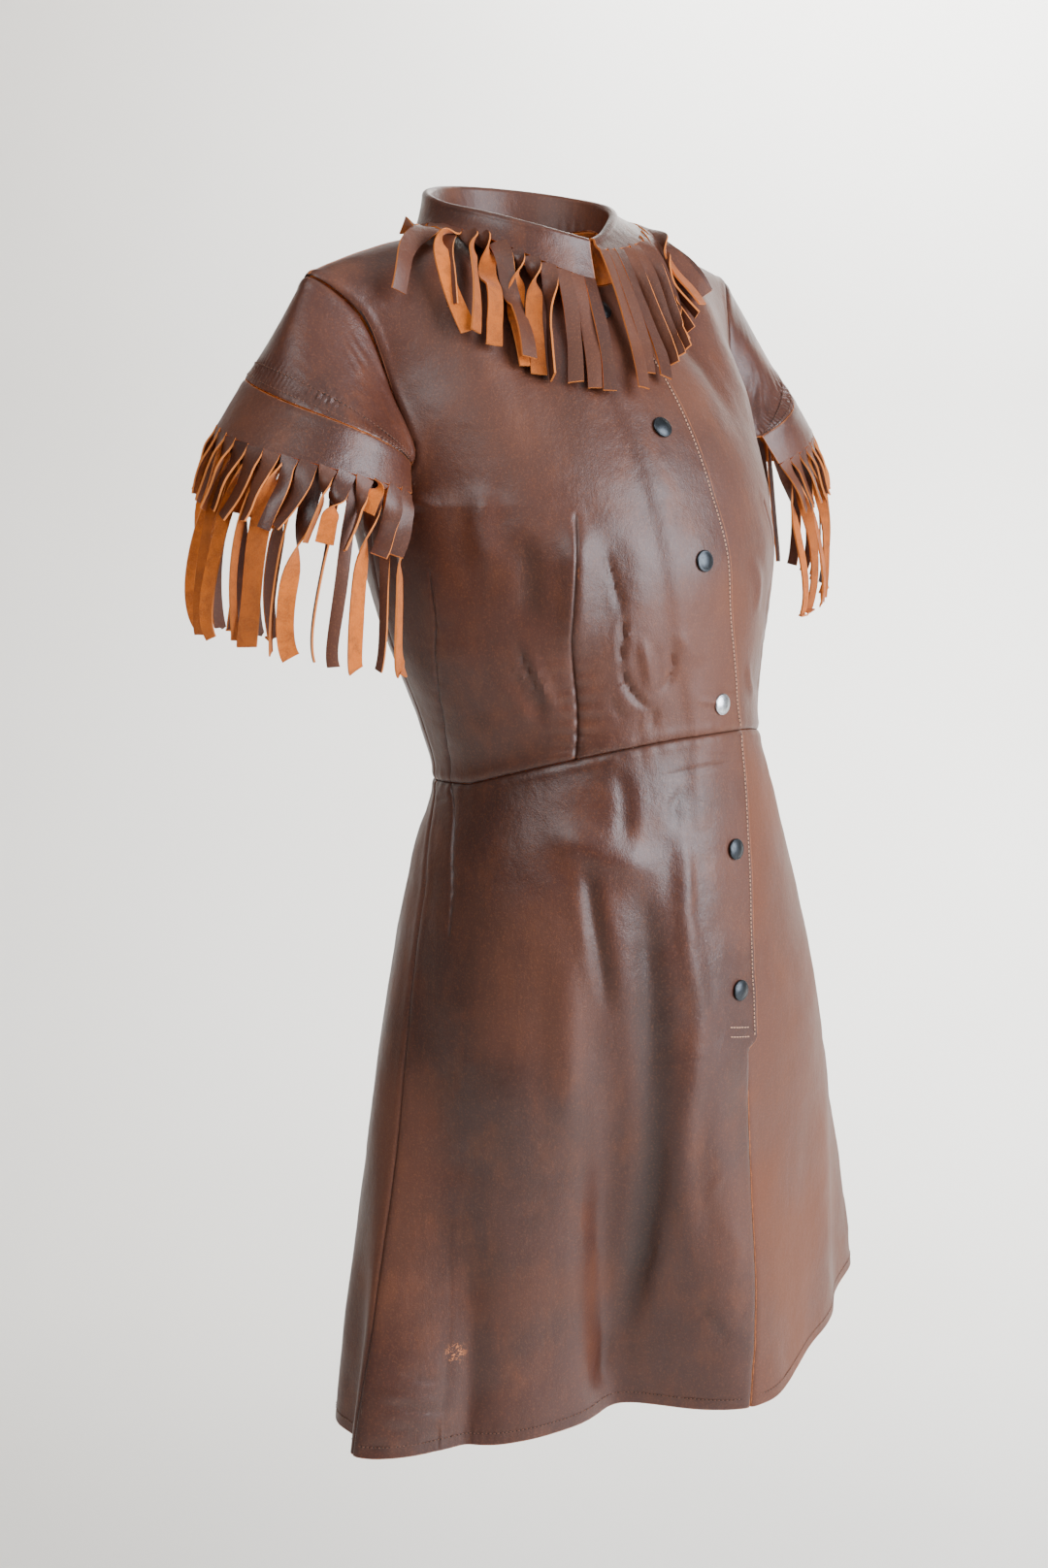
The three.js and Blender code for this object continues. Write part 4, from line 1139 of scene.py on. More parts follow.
def materials(context):
    """The finishes, made once."""
    if not MATERIALS:
        colours, sizes = context.scene.dress_colours, context.scene.dress_sizes
        MATERIALS.update(
            leather=leather_material(colours, sizes),
            suede=suede_material(colours),
            cut=cut_material(colours),
            thread=thread_material("brown_thread", colours.thread),
            tan_thread=thread_material("tan_thread", colours.tan_thread),
            # Needle holes are flat near-black discs: painted shade standing in for the shadow inside
            # each hole.
            hole=thread_material("needle_hole", linear((24, 14, 10))),
            gunmetal=metal_material("gunmetal", colours.gunmetal, 0.28),
            bright=metal_material("bright_metal", colours.bright, 0.22),
        )
    return MATERIALS


def sides(context):
    """The finishes of a sheet's outer face, inner face and edges."""
    made = materials(context)
    return [made["leather"], made["suede"], made["cut"]]


def make_panel(context, name, node, back, row_ends, edges, lengths, lift, rests_on, open_edges, tone):
    """One panel of skirt or bodice between two rows, with columns across its spans."""
    pitch = context.scene.dress_sizes.pitch
    column = dress(np.linspace(*row_ends, 30), 0.5, back)
    height = 1.02 * np.linalg.norm(np.diff(column, axis=0), axis=-1).sum()
    rows = lerp(row_ends[0], row_ends[1], spaced(height, pitch))
    s = spans([edge(rows) for edge in edges], lengths, pitch)
    row = np.repeat(rows[:, None], s.shape[1], 1)
    p, n = facing(leather_face(back), s, row)
    made = panel_leather(p.reshape(-1, 3), back)
    outer = p + n * (made.relief.reshape(row.shape) + lift(s, row))[..., None]
    rim = edge_distance(outer, **open_edges)
    obj = shell(name, outer, n, sides(context), attributes=made.marks(rim, tone))
    finish_sheet(obj, outer, node, rests_on)
    return obj


SKIRT_ENDS = (0, WAIST_ROW - 0.004)
BODICE_ENDS = (WAIST_ROW + 0.004, TOP_ROW - 0.014)


def leather_face(back):
    """The outside as a surface of share and row; shares of the back run the other way."""
    return lambda a, row: dress(row, -a if back else a, back)


def no_lift(s, row):
    return np.zeros(np.shape(row))


def minus(edge):
    return lambda row: -edge(row)


def dart_edge(dart):
    return lambda row: np.interp(row, *dart)


class DRESS_OT_fronts(bpy.types.Operator):
    """Right and left fronts of skirt and bodice, the right one lapping over the left"""

    bl_idname = "dress.fronts"
    bl_label = "Fronts"

    def execute(self, context):
        flank, bust = dart_edge(SIDE_DART), dart_edge(BUST_DART)
        for part, ends, darts, lengths, tones in [
            ("skirt", SKIRT_ENDS, [flank], [45, 230], [(0.18, 0.0), (0.12, 0.5)]),
            ("bodice", BODICE_ENDS, [flank, bust], [35, 80, 110], [(0.05, 0.1), (0.0, 0.25)]),
        ]:
            hem = part == "skirt"
            make_panel(
                context,
                part + "_front_right_leather",
                part + "_front_right",
                False,
                ends,
                [minus(side_edge), *map(minus, darts), lap_edge],
                lengths,
                lap_lift,
                [part + "_back_leather"],
                {"right": True, "low": hem, "high": not hem},
                tones[0],
            )
            make_panel(
                context,
                part + "_front_left_leather",
                part + "_front_left",
                False,
                ends,
                [under_edge, *reversed(darts), side_edge],
                lengths[::-1],
                no_lift,
                [part + "_back_leather"],
                {"left": True, "low": hem, "high": not hem},
                tones[1],
            )
        return {"FINISHED"}


class DRESS_OT_backs(bpy.types.Operator):
    """Back of skirt and bodice, with two darts"""

    bl_idname = "dress.backs"
    bl_label = "Backs"

    def execute(self, context):
        dart = dart_edge(BACK_DART)
        for part, ends in [("skirt", SKIRT_ENDS), ("bodice", BODICE_ENDS)]:
            hem = part == "skirt"
            make_panel(
                context,
                part + "_back_leather",
                part + "_back",
                True,
                ends,
                [minus(side_edge), minus(dart), dart, side_edge],
                [120, 150, 120],
                no_lift,
                ["bodice_back_leather" if hem else "sleeve_right_cap_leather"],
                {"low": hem, "high": not hem},
                (0.15, 0.15),
            )
        return {"FINISHED"}


class DRESS_OT_collar(bpy.types.Operator):
    """Collar: a stand that turns over into a fall"""

    bl_idname = "dress.collar"
    bl_label = "Collar"

    def execute(self, context):
        u = np.linspace(0, 1, 260)
        rows = np.unique(np.concatenate([np.linspace(0, 1, 46), np.linspace(0.43, 0.62, 14)]))
        uu, ww = np.meshgrid(u, rows)
        p, n = facing(collar_point, uu, ww, 0.002, 0.006)
        made = Leather(p.reshape(-1, 3), 0.45)
        made.puckers(Track(collar_point(np.linspace(0, 1, 120), np.full(120, 0.97))), 8, 6, 0.2)
        outer = p + n * (made.relief.reshape(uu.shape) * smooth(ww / 0.15))[..., None]
        rim = edge_distance(outer, left=True, right=True)
        obj = shell("collar_leather", outer, n, sides(context), attributes=made.marks(rim))
        finish_sheet(obj, outer, "collar", ["bodice_back_leather"])
        return {"FINISHED"}


def collar_bearing(u):
    return wrap(COLLAR_END["left"] + u * (360 - COLLAR_END["left"] - COLLAR_END["right"]))


def collar_point(u, w):
    return collar(collar_bearing(u), 1 - w)


def collar_hang(u, k):
    """The face that the collar's strips lie in, from its edge down over the bodice."""
    bearing = collar_bearing(np.asarray(u, float))
    bearing, k = np.broadcast_arrays(bearing, np.asarray(k, float))
    q = np.abs(bearing)
    around = np.radians(90 - np.abs(q - 90))
    fan = np.radians(22) * np.exp(-(((q - 92) / 12) ** 2))
    start = 14 + 8 * smooth(q / 90) + 12 * flare(bearing)
    clear = 5 + 4.5 * np.exp(-((q / 16) ** 2)) + 5 * np.exp(-(((q - 92) / 12) ** 2))

    drift = STRIP_DRIFT * np.exp(-((bearing / 55) ** 2))

    def lying(drop):
        def flat(turn, more):
            down = start * np.cos(around) + (drop + more) * np.cos(fan)
            over = start * np.sin(around) + (drop + more) * np.sin(fan)
            return below_neck(wrap(bearing + turn), down, over, (drop + more) * drift)

        n = unit(np.cross(flat(1.5, 0) - flat(-1.5, 0), flat(0, -1) - flat(0, 1)))
        return flat(0, 0) + n * clear[..., None]

    edge = collar(bearing, 1)
    held = edge - lying(np.zeros(k.shape))
    return lying(k * COLLAR_STRIP_LENGTH) + held * (1 - smooth(k * 1.6))[..., None]


def turned(v, axis, angle):
    """Vectors turned about unit axes by angles in radians."""
    c, s = np.cos(angle)[..., None], np.sin(angle)[..., None]
    return v * c + np.cross(axis, v) * s + axis * (v * axis).sum(-1, keepdims=True) * (1 - c)


STRIP_ACROSS = 6
STRIP_STEPS = 30
STRIP_WALL = 1.3


def strip_grid(hang, u0, u1, k0, habit, pitch):
    """The outer face of one cut strip, from its end up to its root, and the way out of it."""
    g = np.linspace(0, 1, STRIP_STEPS + 1)
    k = lerp(k0, 1, g * habit["length"])
    um = (u0 + u1) / 2 + habit["swing"] * pitch * smooth(3.5 * g)
    centre = hang(um, k)
    away = unit(hang(um, k + 0.01) - hang(um, k - 0.01))
    across = hang(um + 0.004, k) - hang(um - 0.004, k)
    across = unit(across - away * (across * away).sum(-1, keepdims=True))
    out = np.cross(away, across)
    phase, wave = habit["phase"], habit["wave"]
    ripple = wave * np.sin(2 * math.pi * (g * habit["waves"] + phase)) * smooth(g * 2.5)
    aside = habit["slip"] * g**1.5 + habit["bow"] * np.sin(math.pi * g) * smooth(3 * g)
    aside += 0.6 * wave * np.sin(2 * math.pi * (g * 0.8 + 3 * phase)) * g
    centre = centre + across * aside[:, None]
    centre = centre + out * (habit["lift"] * np.sin(math.pi * 0.55 * g) + ripple)[:, None]
    run = unit(np.gradient(centre, axis=0))
    away = unit(away + (run - away) * smooth(4 * g)[:, None])
    across = unit(across - away * (across * away).sum(-1, keepdims=True))
    out = np.cross(away, across)
    angle = np.radians(habit["twist"]) * smooth((g - habit["turn"] + 0.2) / 0.4)
    angle += np.radians(habit["lean"]) * smooth(g * 3)
    wide, thick = turned(across, away, angle), turned(out, away, angle)
    half = np.linalg.norm(hang(np.array(u1), np.array(k0)) - hang(np.array(u0), np.array(k0))) / 2
    c = np.linspace(-1, 1, STRIP_ACROSS + 1)
    width = lerp(1.08, habit["wide"], smooth(g * 5)) * (1 + 0.04 * np.sin(9 * g + 6 * phase))
    cup = habit["cup"] * half * 0.12 * c**2 * smooth(g * 3)[:, None]
    outer = centre[:, None] + wide[:, None] * (c * half * width[:, None])[..., None]
    outer -= thick[:, None] * cup[..., None]
    slant = habit["slant"] * c / 2
    outer[-1] += away[-1] * slant[:, None]
    outer[-2] += away[-2] * slant[:, None] * 0.5
    return outer[::-1], np.repeat(thick[::-1, None], STRIP_ACROSS + 1, 1)


def fringe_piece(context, name, node, hang, kind, habits):
    """All the strips of one fringe as one piece."""
    settings = FRINGE[kind]
    count, fill, backing = settings["count"], settings["fill"], settings["backing"]
    strip_faces, strip_kinds = sheet_faces(STRIP_STEPS + 1, STRIP_ACROSS + 1)
    points, faces = [], []
    marks = {"rub": [], "shade": [], "tan": []}
    for i in range(count):
        u0, u1 = (i + (1 - fill) / 2) / count, (i + (1 + fill) / 2) / count
        outer, normals = strip_grid(hang, u0, u1, backing, habits(i), 1 / count)
        both = sheet_points(outer, normals, STRIP_WALL)
        points.append(both)
        faces += (strip_faces + i * len(both)).tolist()
        distance = edge_distance(outer, left=True, right=True, low=True)
        marks["rub"].append(np.tile(0.3 * np.exp(-distance / 0.6).reshape(-1), 2))
        marks["shade"].append(np.full(len(both), 0.5 * scatter(i, 31)))
        marks["tan"].append(np.full(len(both), 0.6 * scatter(i, 32)))
    attributes = {key: np.concatenate(values) for key, values in marks.items()}
    kinds = np.tile(strip_kinds, count)
    obj = new_mesh(name, np.concatenate(points), faces, kinds, sides(context), attributes)
    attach(obj, "root")
    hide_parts(node)
    return obj


def strip_habit(i, salt, **more):
    """How a strip differs from its neighbours."""
    habit = {
        "slip": 4 * (scatter(i, salt) - 0.5),
        "lift": 2.5 * scatter(i, salt + 1),
        "twist": 0,
        "turn": 0.2 + 0.4 * scatter(i, salt + 2),
        "lean": 12 * (scatter(i, salt + 3) - 0.3),
        "length": 0.88 + 0.12 * scatter(i, salt + 4),
        "wave": 0.5 + 0.7 * scatter(i, salt + 5),
        "waves": 0.7 + 0.7 * scatter(i, salt + 6),
        "phase": scatter(i, salt + 7),
        "cup": 1.4 * scatter(i, salt + 8) - 0.4,
        "slant": 3 * (scatter(i, salt + 9) - 0.5),
        "bow": 0,
        "wide": 0.97,
        "swing": 0,
    }
    habit.update(more)
    return habit


def add_with(piece, sheet_name):
    """Notes a piece that goes with a sheet."""
    for row in SHEETS:
        if row["obj"].name == sheet_name:
            row["with"].append(piece)


# The collar strips that show, counted from the wearer's left front end round the back: twist in
# degrees and where along the strip it is, drift of the end and bulge of the middle to the
# right as seen from outside, lift, share of the full length and width, and swing in strips.
COLLAR_STRIPS = table(
    "strip twist turn slip bow lift length wide swing",
    [
        [0, 14, 0.4, -4, 1, 4, 1.08, 1.0, 0],
        [1, 24, 0.3, -9, -2, 4, 0.9, 0.95, 0],
        [2, 8, 0.4, -10, 0, 5, 0.95, 1.05, 0],
        [3, 82, 0.16, -9, 1, 4, 0.82, 0.8, 0],
        [4, 70, 0.2, -15, 0, 5, 0.82, 0.85, 0],
        [5, 88, 0.14, -19, 2, 5, 0.84, 1.0, 0],
        [6, 76, 0.2, -13, 2, 5, 0.82, 0.95, 0],
        [7, 62, 0.3, -7, 1, 5, 0.84, 1.0, -0.2],
        [8, 118, 0.3, 3, 0, 5, 0.84, 1.1, -0.6],
        [9, 148, 0.25, 2, 0, 5, 0.82, 1.2, -1.0],
        [10, 24, 0.4, 4, 0, 4, 0.78, 1.1, -1.6],
        [11, 10, 0.5, 2, 0, 3, 0.76, 1.0, -2.2],
        [32, -60, 0.3, -20, -6, 10, 0.84, 1.45, 1.3],
        [33, 60, 0.4, -4, -8, 2, 0.92, 1.0, 1.0],
        [34, 166, 0.34, 8, -17, 3, 1.08, 1.0, 0],
        [35, 150, 0.17, -18, -6, 1, 1.1, 0.9, 0],
        [36, 174, 0.15, -17, -3, 3, 1.12, 1.0, 0],
        [37, -10, 0.5, -2, 0, 7, 1.12, 1.0, 0],
        [38, 168, 0.2, -9, -2, 0, 1.05, 1.0, 0],
        [39, 173, 0.19, -9, -1, 1, 1.05, 1.0, 0],
        [40, 80, 0.22, -11, -2, 2, 1.05, 1.0, 0],
        [41, 14, 0.4, -5, 2, 1, 1.05, 1.0, 0],
        [42, 4, 0.5, -2, 1, 0, 1.08, 1.0, 0],
        [43, 0, 0.5, -4, 0, 1, 1.1, 0.97, 0],
    ],
)


class DRESS_OT_collar_fringe(bpy.types.Operator):
    """Strips cut into the edge of the collar"""

    bl_idname = "dress.collar_fringe"
    bl_label = "Collar fringe"

    def execute(self, context):
        known = {row["strip"]: row for row in COLLAR_STRIPS}

        def habits(i):
            return strip_habit(i, 1, **{k: v for k, v in known.get(i, {}).items() if k != "strip"})

        name = "collar_fringe"
        piece = fringe_piece(context, name + "_strips", name, collar_hang, "collar", habits)
        add_with(piece, "collar_leather")
        return {"FINISHED"}


SLEEVES = {RIGHT: "right", LEFT: "left"}


def sleeve_turn(side, u):
    """Columns run the same way round each sleeve as seen from outside."""
    return 1 - u if side == RIGHT else u


def sleeve_point(side):
    return lambda u, v: sleeve(side, sleeve_turn(side, u), 2 - v)


# Rows of a sleeve, from its slits up to the armhole.
BAND_ROWS = (0.0, 0.99)
CAP_ROWS = (1.01, 1.985)
SLEEVE_STITCH_ROWS = {"lower": 1.06, "upper": 1.2}


class DRESS_OT_sleeves(bpy.types.Operator):
    """Sleeve caps and the flared bands sewn under them"""

    bl_idname = "dress.sleeves"
    bl_label = "Sleeves"

    def execute(self, context):
        for side, word in SLEEVES.items():
            point = sleeve_point(side)
            line = np.linspace(0, 1, 90)
            seam = Track(point(line, np.full(90, 1.0)))
            upper = Track(point(line, np.full(90, 1.16)))
            head = Track(point(line, np.full(90, CAP_ROWS[1])))

            tip, foot = point(np.array([0.62, 0.96]), np.array([1.75, 1.05]))
            if side == LEFT:
                tip, foot = point(np.array([0.38, 0.04]), np.array([1.75, 1.05]))
            middle = point(np.array(0.8 if side == RIGHT else 0.2), np.array(1.4))

            for part, (low, high) in [("cap", CAP_ROWS), ("band", BAND_ROWS)]:
                rows = lerp(low, high, spaced(60 if part == "cap" else 32, 1.6))
                columns = spaced(230, 1.1 if part == "cap" else 1.9)
                uu, vv = np.meshgrid(columns, rows)
                p, n = facing(point, uu, vv, 0.01, 0.08)
                band = part == "band"
                made = Leather(p.reshape(-1, 3), 0.6)
                made.seam(seam, 0.5, 0.3, 0.3)
                made.seam(head, 1.0, 0.7, 0.6)
                if band:
                    made.relief *= smooth(vv / 0.15).reshape(-1)
                else:
                    made.puckers(upper, 3.7, 7.5, 0.55)
                    made.wrinkles(foot, tip, 6.5, 0.7, middle, 46)
                outer = p + n * made.relief.reshape(uu.shape)[..., None]
                rim = edge_distance(outer, high=band, left=band, right=band)
                name = f"sleeve_{word}_{part}"
                obj = shell(name + "_leather", outer, n, sides(context), attributes=made.marks(rim))
                finish_sheet(obj, outer, name, ["bodice_back_leather"])
        return {"FINISHED"}


def short_hang(side):
    def hang(u, k):
        a = sleeve_line(side, "slits", sleeve_turn(side, u))
        b = sleeve_line(side, "short_ends", sleeve_turn(side, u))
        return mix(a, b, k)

    return hang


def long_hang(side):
    point = sleeve_point(side)

    def inside_band(u, w):
        u, w = np.broadcast_arrays(np.asarray(u, float), np.asarray(w, float))
        p, n = facing(point, u, 1 - w, 0.004, 0.01)
        return p - n * (WALL + 2 * SEAM)

    def hang(u, k):
        u, k = np.broadcast_arrays(np.asarray(u, float), np.asarray(k, float))
        top = inside_band(u, 0.62 + 2.6 * k)
        low = sleeve_line(side, "long_ends", sleeve_turn(side, u))
        fallen = smooth((k - 0.02) / 0.98) * 0.4 + 0.6 * np.clip(k - 0.02, 0, 1)
        return mix(top, low, fallen)

    return hang


def by_strip(columns, rows):
    """Habits of single strips by number, from the right sleeve's back or the left one's front."""
    return {row.pop("strip"): row for row in table("strip " + columns, rows)}


SHORT_STRIPS = by_strip(
    "twist turn slip bow length wide",
    [
        [8, 6, 0.4, -3, 0, 0.9, 1.1],
        [9, 10, 0.4, -4, 0, 0.95, 1.15],
        [10, 24, 0.3, -2, 1, 1.0, 1.0],
        [11, 8, 0.4, -6, 0, 0.95, 1.25],
        [12, 6, 0.4, -5, 1, 1.0, 1.25],
        [13, 18, 0.5, -3, 0, 0.97, 1.05],
        [14, -20, 0.5, 2, 2, 1.0, 0.8],
        [15, 12, 0.4, -6, 2, 0.94, 1.05],
        [16, 84, 0.25, 3, 2, 1.05, 0.7],
        [17, 165, 0.5, 2, -2, 1.02, 1.0],
        [18, 76, 0.3, 2, 2, 1.05, 0.7],
        [19, -168, 0.2, -4, -2, 0.5, 0.8],
        [20, 30, 0.4, 0, 2, 1.05, 1.0],
        [21, 14, 0.5, -1, 2, 1.0, 1.15],
    ],
)
LONG_STRIPS = by_strip(
    "twist turn slip bow length wide",
    [
        [0, 170, 0.15, 2, 1, 1.06, 0.9],
        [1, -170, 0.2, -3, 2, 1.12, 0.9],
        [2, 172, 0.15, 3, -2, 1.2, 1.0],
        [3, -160, 0.2, 4, 2, 1.16, 0.8],
        [4, 12, 0.2, -2, 2, 1.02, 0.6],
        [5, 172, 0.2, -6, -3, 1.0, 0.75],
        [6, 168, 0.3, 1, -3, 0.98, 0.65],
        [7, 24, 0.2, -10, -4, 0.96, 0.85],
        [8, 80, 0.2, -1, -2, 1.06, 0.6],
        [9, 150, 0.18, -3, -3, 1.0, 0.7],
        [10, 166, 0.2, 2, -3, 0.94, 0.9],
        [11, 105, 0.15, 3, 2, 0.94, 0.55],
        [12, 172, 0.14, 3, 1, 0.94, 1.25],
        [13, 98, 0.2, 2, 3, 0.98, 0.5],
        [14, 165, 0.34, 1, -1, 1.0, 1.1],
        [15, 86, 0.2, 2, 2, 1.0, 0.5],
        [16, 18, 0.3, 2, 0, 1.02, 0.75],
        [17, 164, 0.2, 1, -2, 1.03, 1.05],
        [18, 74, 0.3, 3, 3, 1.02, 0.6],
        [19, 150, 0.18, 12, -6, 1.08, 1.25],
    ],
)


class DRESS_OT_sleeve_fringe(bpy.types.Operator):
    """Two tiers of strips on each sleeve: short ones cut into the band, long ones inside it"""

    bl_idname = "dress.sleeve_fringe"
    bl_label = "Sleeve fringe"

    def execute(self, context):
        for side, word in SLEEVES.items():

            def short(i):
                more = {
                    "lean": -24 * side,
                    "lift": 2 + 2 * scatter(i, 47),
                    "wide": 0.8 + 0.25 * scatter(i, 48),
                }
                return strip_habit(i, 40 + side, **(more | SHORT_STRIPS.get(i, {})))

            def long(i):
                over = scatter(i, 60 + side) < 0.6
                more = {
                    "twist": (150 if over else 20) * (1 if scatter(i, 61) < 0.5 else -1),
                    "turn": 0.1 + 0.2 * scatter(i, 62),
                    "lift": -3 * scatter(i, 63),
                    "wave": 1.5 + 1.5 * scatter(i, 64),
                }
                return strip_habit(i, 50 + side, **(more | LONG_STRIPS.get(i, {})))

            for kind, hang, habit in [("short", short_hang, short), ("long", long_hang, long)]:
                name = f"sleeve_{word}_fringe_{kind}"
                piece = fringe_piece(context, name + "_strips", name, hang(side), kind, habit)
                add_with(piece, f"sleeve_{word}_band_leather")
        return {"FINISHED"}


# A stitch from end to end: places as shares of its half length, and its thickness and height as
# shares of the thread's radius.
STITCH = {
    "along": [-1, -0.8, -0.35, 0.35, 0.8, 1],
    "swell": [0.35, 0.85, 1, 1, 0.85, 0.35],
    "dip": [-1.6, -0.5, 0.1, 0.1, -0.5, -1.6],
}
THREAD_SIDES = 6
# The needle hole is a flat dark disc of painted shade, lifted just above the leather.
HOLE_SHADE_SHARE = 1.5  # the needle hole's radius, as a share of the thread's
HOLE_SHADE_LIFT = 0.12


def stitch_row(context, name, p, n, material, sheet_name, sink=0.15, length=0.72):
    """A row of stitches along a line on the leather, each a bead of thread with a flat dark disc of
    painted shade for its needle hole.
    """
    sizes = context.scene.dress_sizes
    pitch, radius = sizes.stitch_pitch, sizes.thread
    step = np.linalg.norm(np.diff(p, axis=0), axis=-1)
    at = np.concatenate([[0], np.cumsum(step)])
    along, swell, dip = (np.array(STITCH[key]) for key in ("along", "swell", "dip"))
    ring = np.linspace(0, 2 * math.pi, THREAD_SIDES + 1)[:-1]
    cos, sin = np.cos(ring)[:, None], np.sin(ring)[:, None]
    loops = np.arange((len(along) + 1) * THREAD_SIDES).reshape(-1, THREAD_SIDES)
    bead, hole = loops[:-1], loops[-1]
    after = np.roll(bead, -1, axis=1)
    bead_faces = np.stack([bead[:-1], after[:-1], after[1:], bead[1:]], -1).reshape(-1, 4).tolist()
    stitch_faces = bead_faces + [bead[0, ::-1].tolist(), bead[-1].tolist(), hole.tolist()]
    points, faces, kinds = [], [], []
    for i in range(int(at[-1] / pitch)):
        place = (i + 0.5) * pitch + along * pitch * length / 2
        where = np.stack([np.interp(place, at, p[:, k]) for k in range(3)], -1)
        up = unit(np.stack([np.interp(place, at, n[:, k]) for k in range(3)], -1))
        run = unit(np.gradient(where, axis=0))
        wide = unit(np.cross(run, up))
        centre = where + up * (dip * radius + radius - sink)[:, None]
        for r in range(len(along)):
            points.append(centre[r] + radius * swell[r] * (cos * wide[r] + sin * up[r]))
        # A flat dark disc at the stitch's end, painted shade for the needle hole.
        middle = where[-1] + run[-1] * pitch * (1 - length) / 2 + up[-1] * HOLE_SHADE_LIFT
        points.append(middle + HOLE_SHADE_SHARE * radius * (cos * wide[-1] + sin * run[-1]))
        faces += [[k + i * loops.size for k in face] for face in stitch_faces]
        kinds += [0] * (len(stitch_faces) - 1) + [1]
    finishes = [material, materials(context)["hole"]]
    obj = new_mesh(name, np.concatenate(points), faces, kinds, finishes, sharp=60)
    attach(obj, "root")
    add_with(obj, sheet_name)
    return obj


def on_panel(rows, shares, back, lift=no_lift):
    """Points and normals of the finished leather at rows and shares."""
    s = -shares if back else shares
    p, n = facing(leather_face(back), s, rows)
    return p + n * (panel_leather(p, back).relief + lift(s, rows))[..., None], n


# The two bar tacks at the foot of the lap: how many rows above it, their ends and middle as
# shares, and how many rows they fall over a share.
BAR_TACKS_ABOVE = [0.12, 0.05]
BAR_TACK_ENDS = [-0.047, 0.006]
BAR_TACK_MIDDLE = -0.02
BAR_TACK_SLOPE = 0.9


class DRESS_OT_stitching(bpy.types.Operator):
    """Rows of stitches: lap, hem, bar tacks and sleeves"""

    bl_idname = "dress.stitching"
    bl_label = "Stitching"

    def execute(self, context):
        made = materials(context)
        brown, tan = made["thread"], made["tan_thread"]
        for part, rows in [
            ("skirt", np.linspace(BAR_TACK_ROW + 0.02, WAIST_ROW - 0.05, 120)),
            ("bodice", np.linspace(WAIST_ROW + 0.05, TOP_ROW - 0.12, 160)),
        ]:
            p, n = on_panel(rows, lap_edge(rows) - share(rows, LAP_STITCH_IN), False, lap_lift)
            stitch_row(context, part + "_lap_stitches", p, n, tan, part + "_front_right_leather")
        for i, above in enumerate(BAR_TACKS_ABOVE, 1):
            shares = np.linspace(*BAR_TACK_ENDS, 20)
            rows = BAR_TACK_ROW + above - BAR_TACK_SLOPE * (shares - BAR_TACK_MIDDLE)
            p, n = on_panel(rows, shares, False, lap_lift)
            stitch_row(context, f"bar_tack_{i}", p, n, tan, "skirt_front_right_leather", length=0.9)
        for name, s, back, sheet_name in [
            ("hem_right", np.linspace(-0.985, -0.01, 200), False, "skirt_front_right_leather"),
            ("hem_left", np.linspace(0.01, 0.985, 200), False, "skirt_front_left_leather"),
            ("hem_back", np.linspace(0.985, -0.985, 360), True, "skirt_back_leather"),
        ]:
            rows = np.full(len(s), HEM_STITCH_ROW)
            p, n = on_panel(rows, s, back)
            stitch_row(context, name + "_stitches", p, n, brown, sheet_name, sink=0.25)
        for side, word in SLEEVES.items():
            point = sleeve_point(side)
            for label, v in SLEEVE_STITCH_ROWS.items():
                name = f"sleeve_{word}_{label}_stitches"
                p, n = facing(point, np.linspace(0.01, 0.99, 200), np.full(200, v), 0.01, 0.08)
                stitch_row(context, name, p, n, brown, f"sleeve_{word}_cap_leather", sink=0.1)
        return {"FINISHED"}


# Rows of the snaps, from the neck down, how far each sits to the wearer's left of the centre
# front, and its finish.
SNAPS = table(
    "row aside finish",
    [
        [13.5, -9, "gunmetal"],
        [11.2, -6.5, "gunmetal"],
        [8.9, -6.5, "gunmetal"],
        [6.56, -2.5, "bright"],
        [4.77, -1.5, "gunmetal"],
        [3.54, -5, "gunmetal"],
    ],
)
SNAP_GAP = 0.5
SNAP_STEPS = 48

# A snap cap from its rim to its middle, as shares of its radius: out and up.
SNAP_PROFILE = table(
    "out up",
    [
        [0.9, -0.06],
        [0.97, 0.0],
        [1.0, 0.08],
        [0.985, 0.16],
        [0.94, 0.21],
        [0.89, 0.225],
        [0.85, 0.22],
        [0.82, 0.225],
        [0.7, 0.27],
        [0.5, 0.32],
        [0.28, 0.35],
        [0.05, 0.36],
    ],
)


class DRESS_OT_snaps(bpy.types.Operator):
    """Six snap caps down the lap"""

    bl_idname = "dress.snaps"
    bl_label = "Snaps"

    def execute(self, context):
        radius = context.scene.dress_sizes.snap_radius
        turn = np.linspace(0, 2 * math.pi, SNAP_STEPS + 1)[:-1]
        for i, snap in enumerate(SNAPS, 1):
            rows = np.array([float(snap["row"])])
            p, n = facing(lambda a, b: dress(b, a, False), share(rows, snap["aside"]), rows)
            base = p[0] + n[0] * (WALL + LAP_GAP + SNAP_GAP)
            wide = unit(np.cross(n[0], [0, 0, 1.0]))
            up = np.cross(wide, n[0])
            points = [
                base
                + n[0] * radius * ring["up"]
                + radius * ring["out"] * (math.cos(a) * wide + math.sin(a) * up)
                for ring in SNAP_PROFILE
                for a in turn
            ]
            loops = np.arange(len(points)).reshape(-1, SNAP_STEPS)
            after = np.roll(loops, -1, axis=1)
            rings = np.stack([after[:-1], loops[:-1], loops[1:], after[1:]], -1)
            faces = rings.reshape(-1, 4).tolist() + [loops[-1, ::-1].tolist(), loops[0].tolist()]
            finish = [materials(context)[snap["finish"]]]
            obj = new_mesh(f"snap_cap_{i}", points, faces, [0] * len(faces), finish, sharp=60)
            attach(obj, "root")
            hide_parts(f"snap_{i}")
        return {"FINISHED"}


class DRESS_OT_declare(bpy.types.Operator):
    """A step that does nothing: each sheet's flat size is noted in SHEETS as the sheet is made"""

    bl_idname = "dress.declare"
    bl_label = "Sheet sizes"

    def execute(self, context):
        return {"FINISHED"}


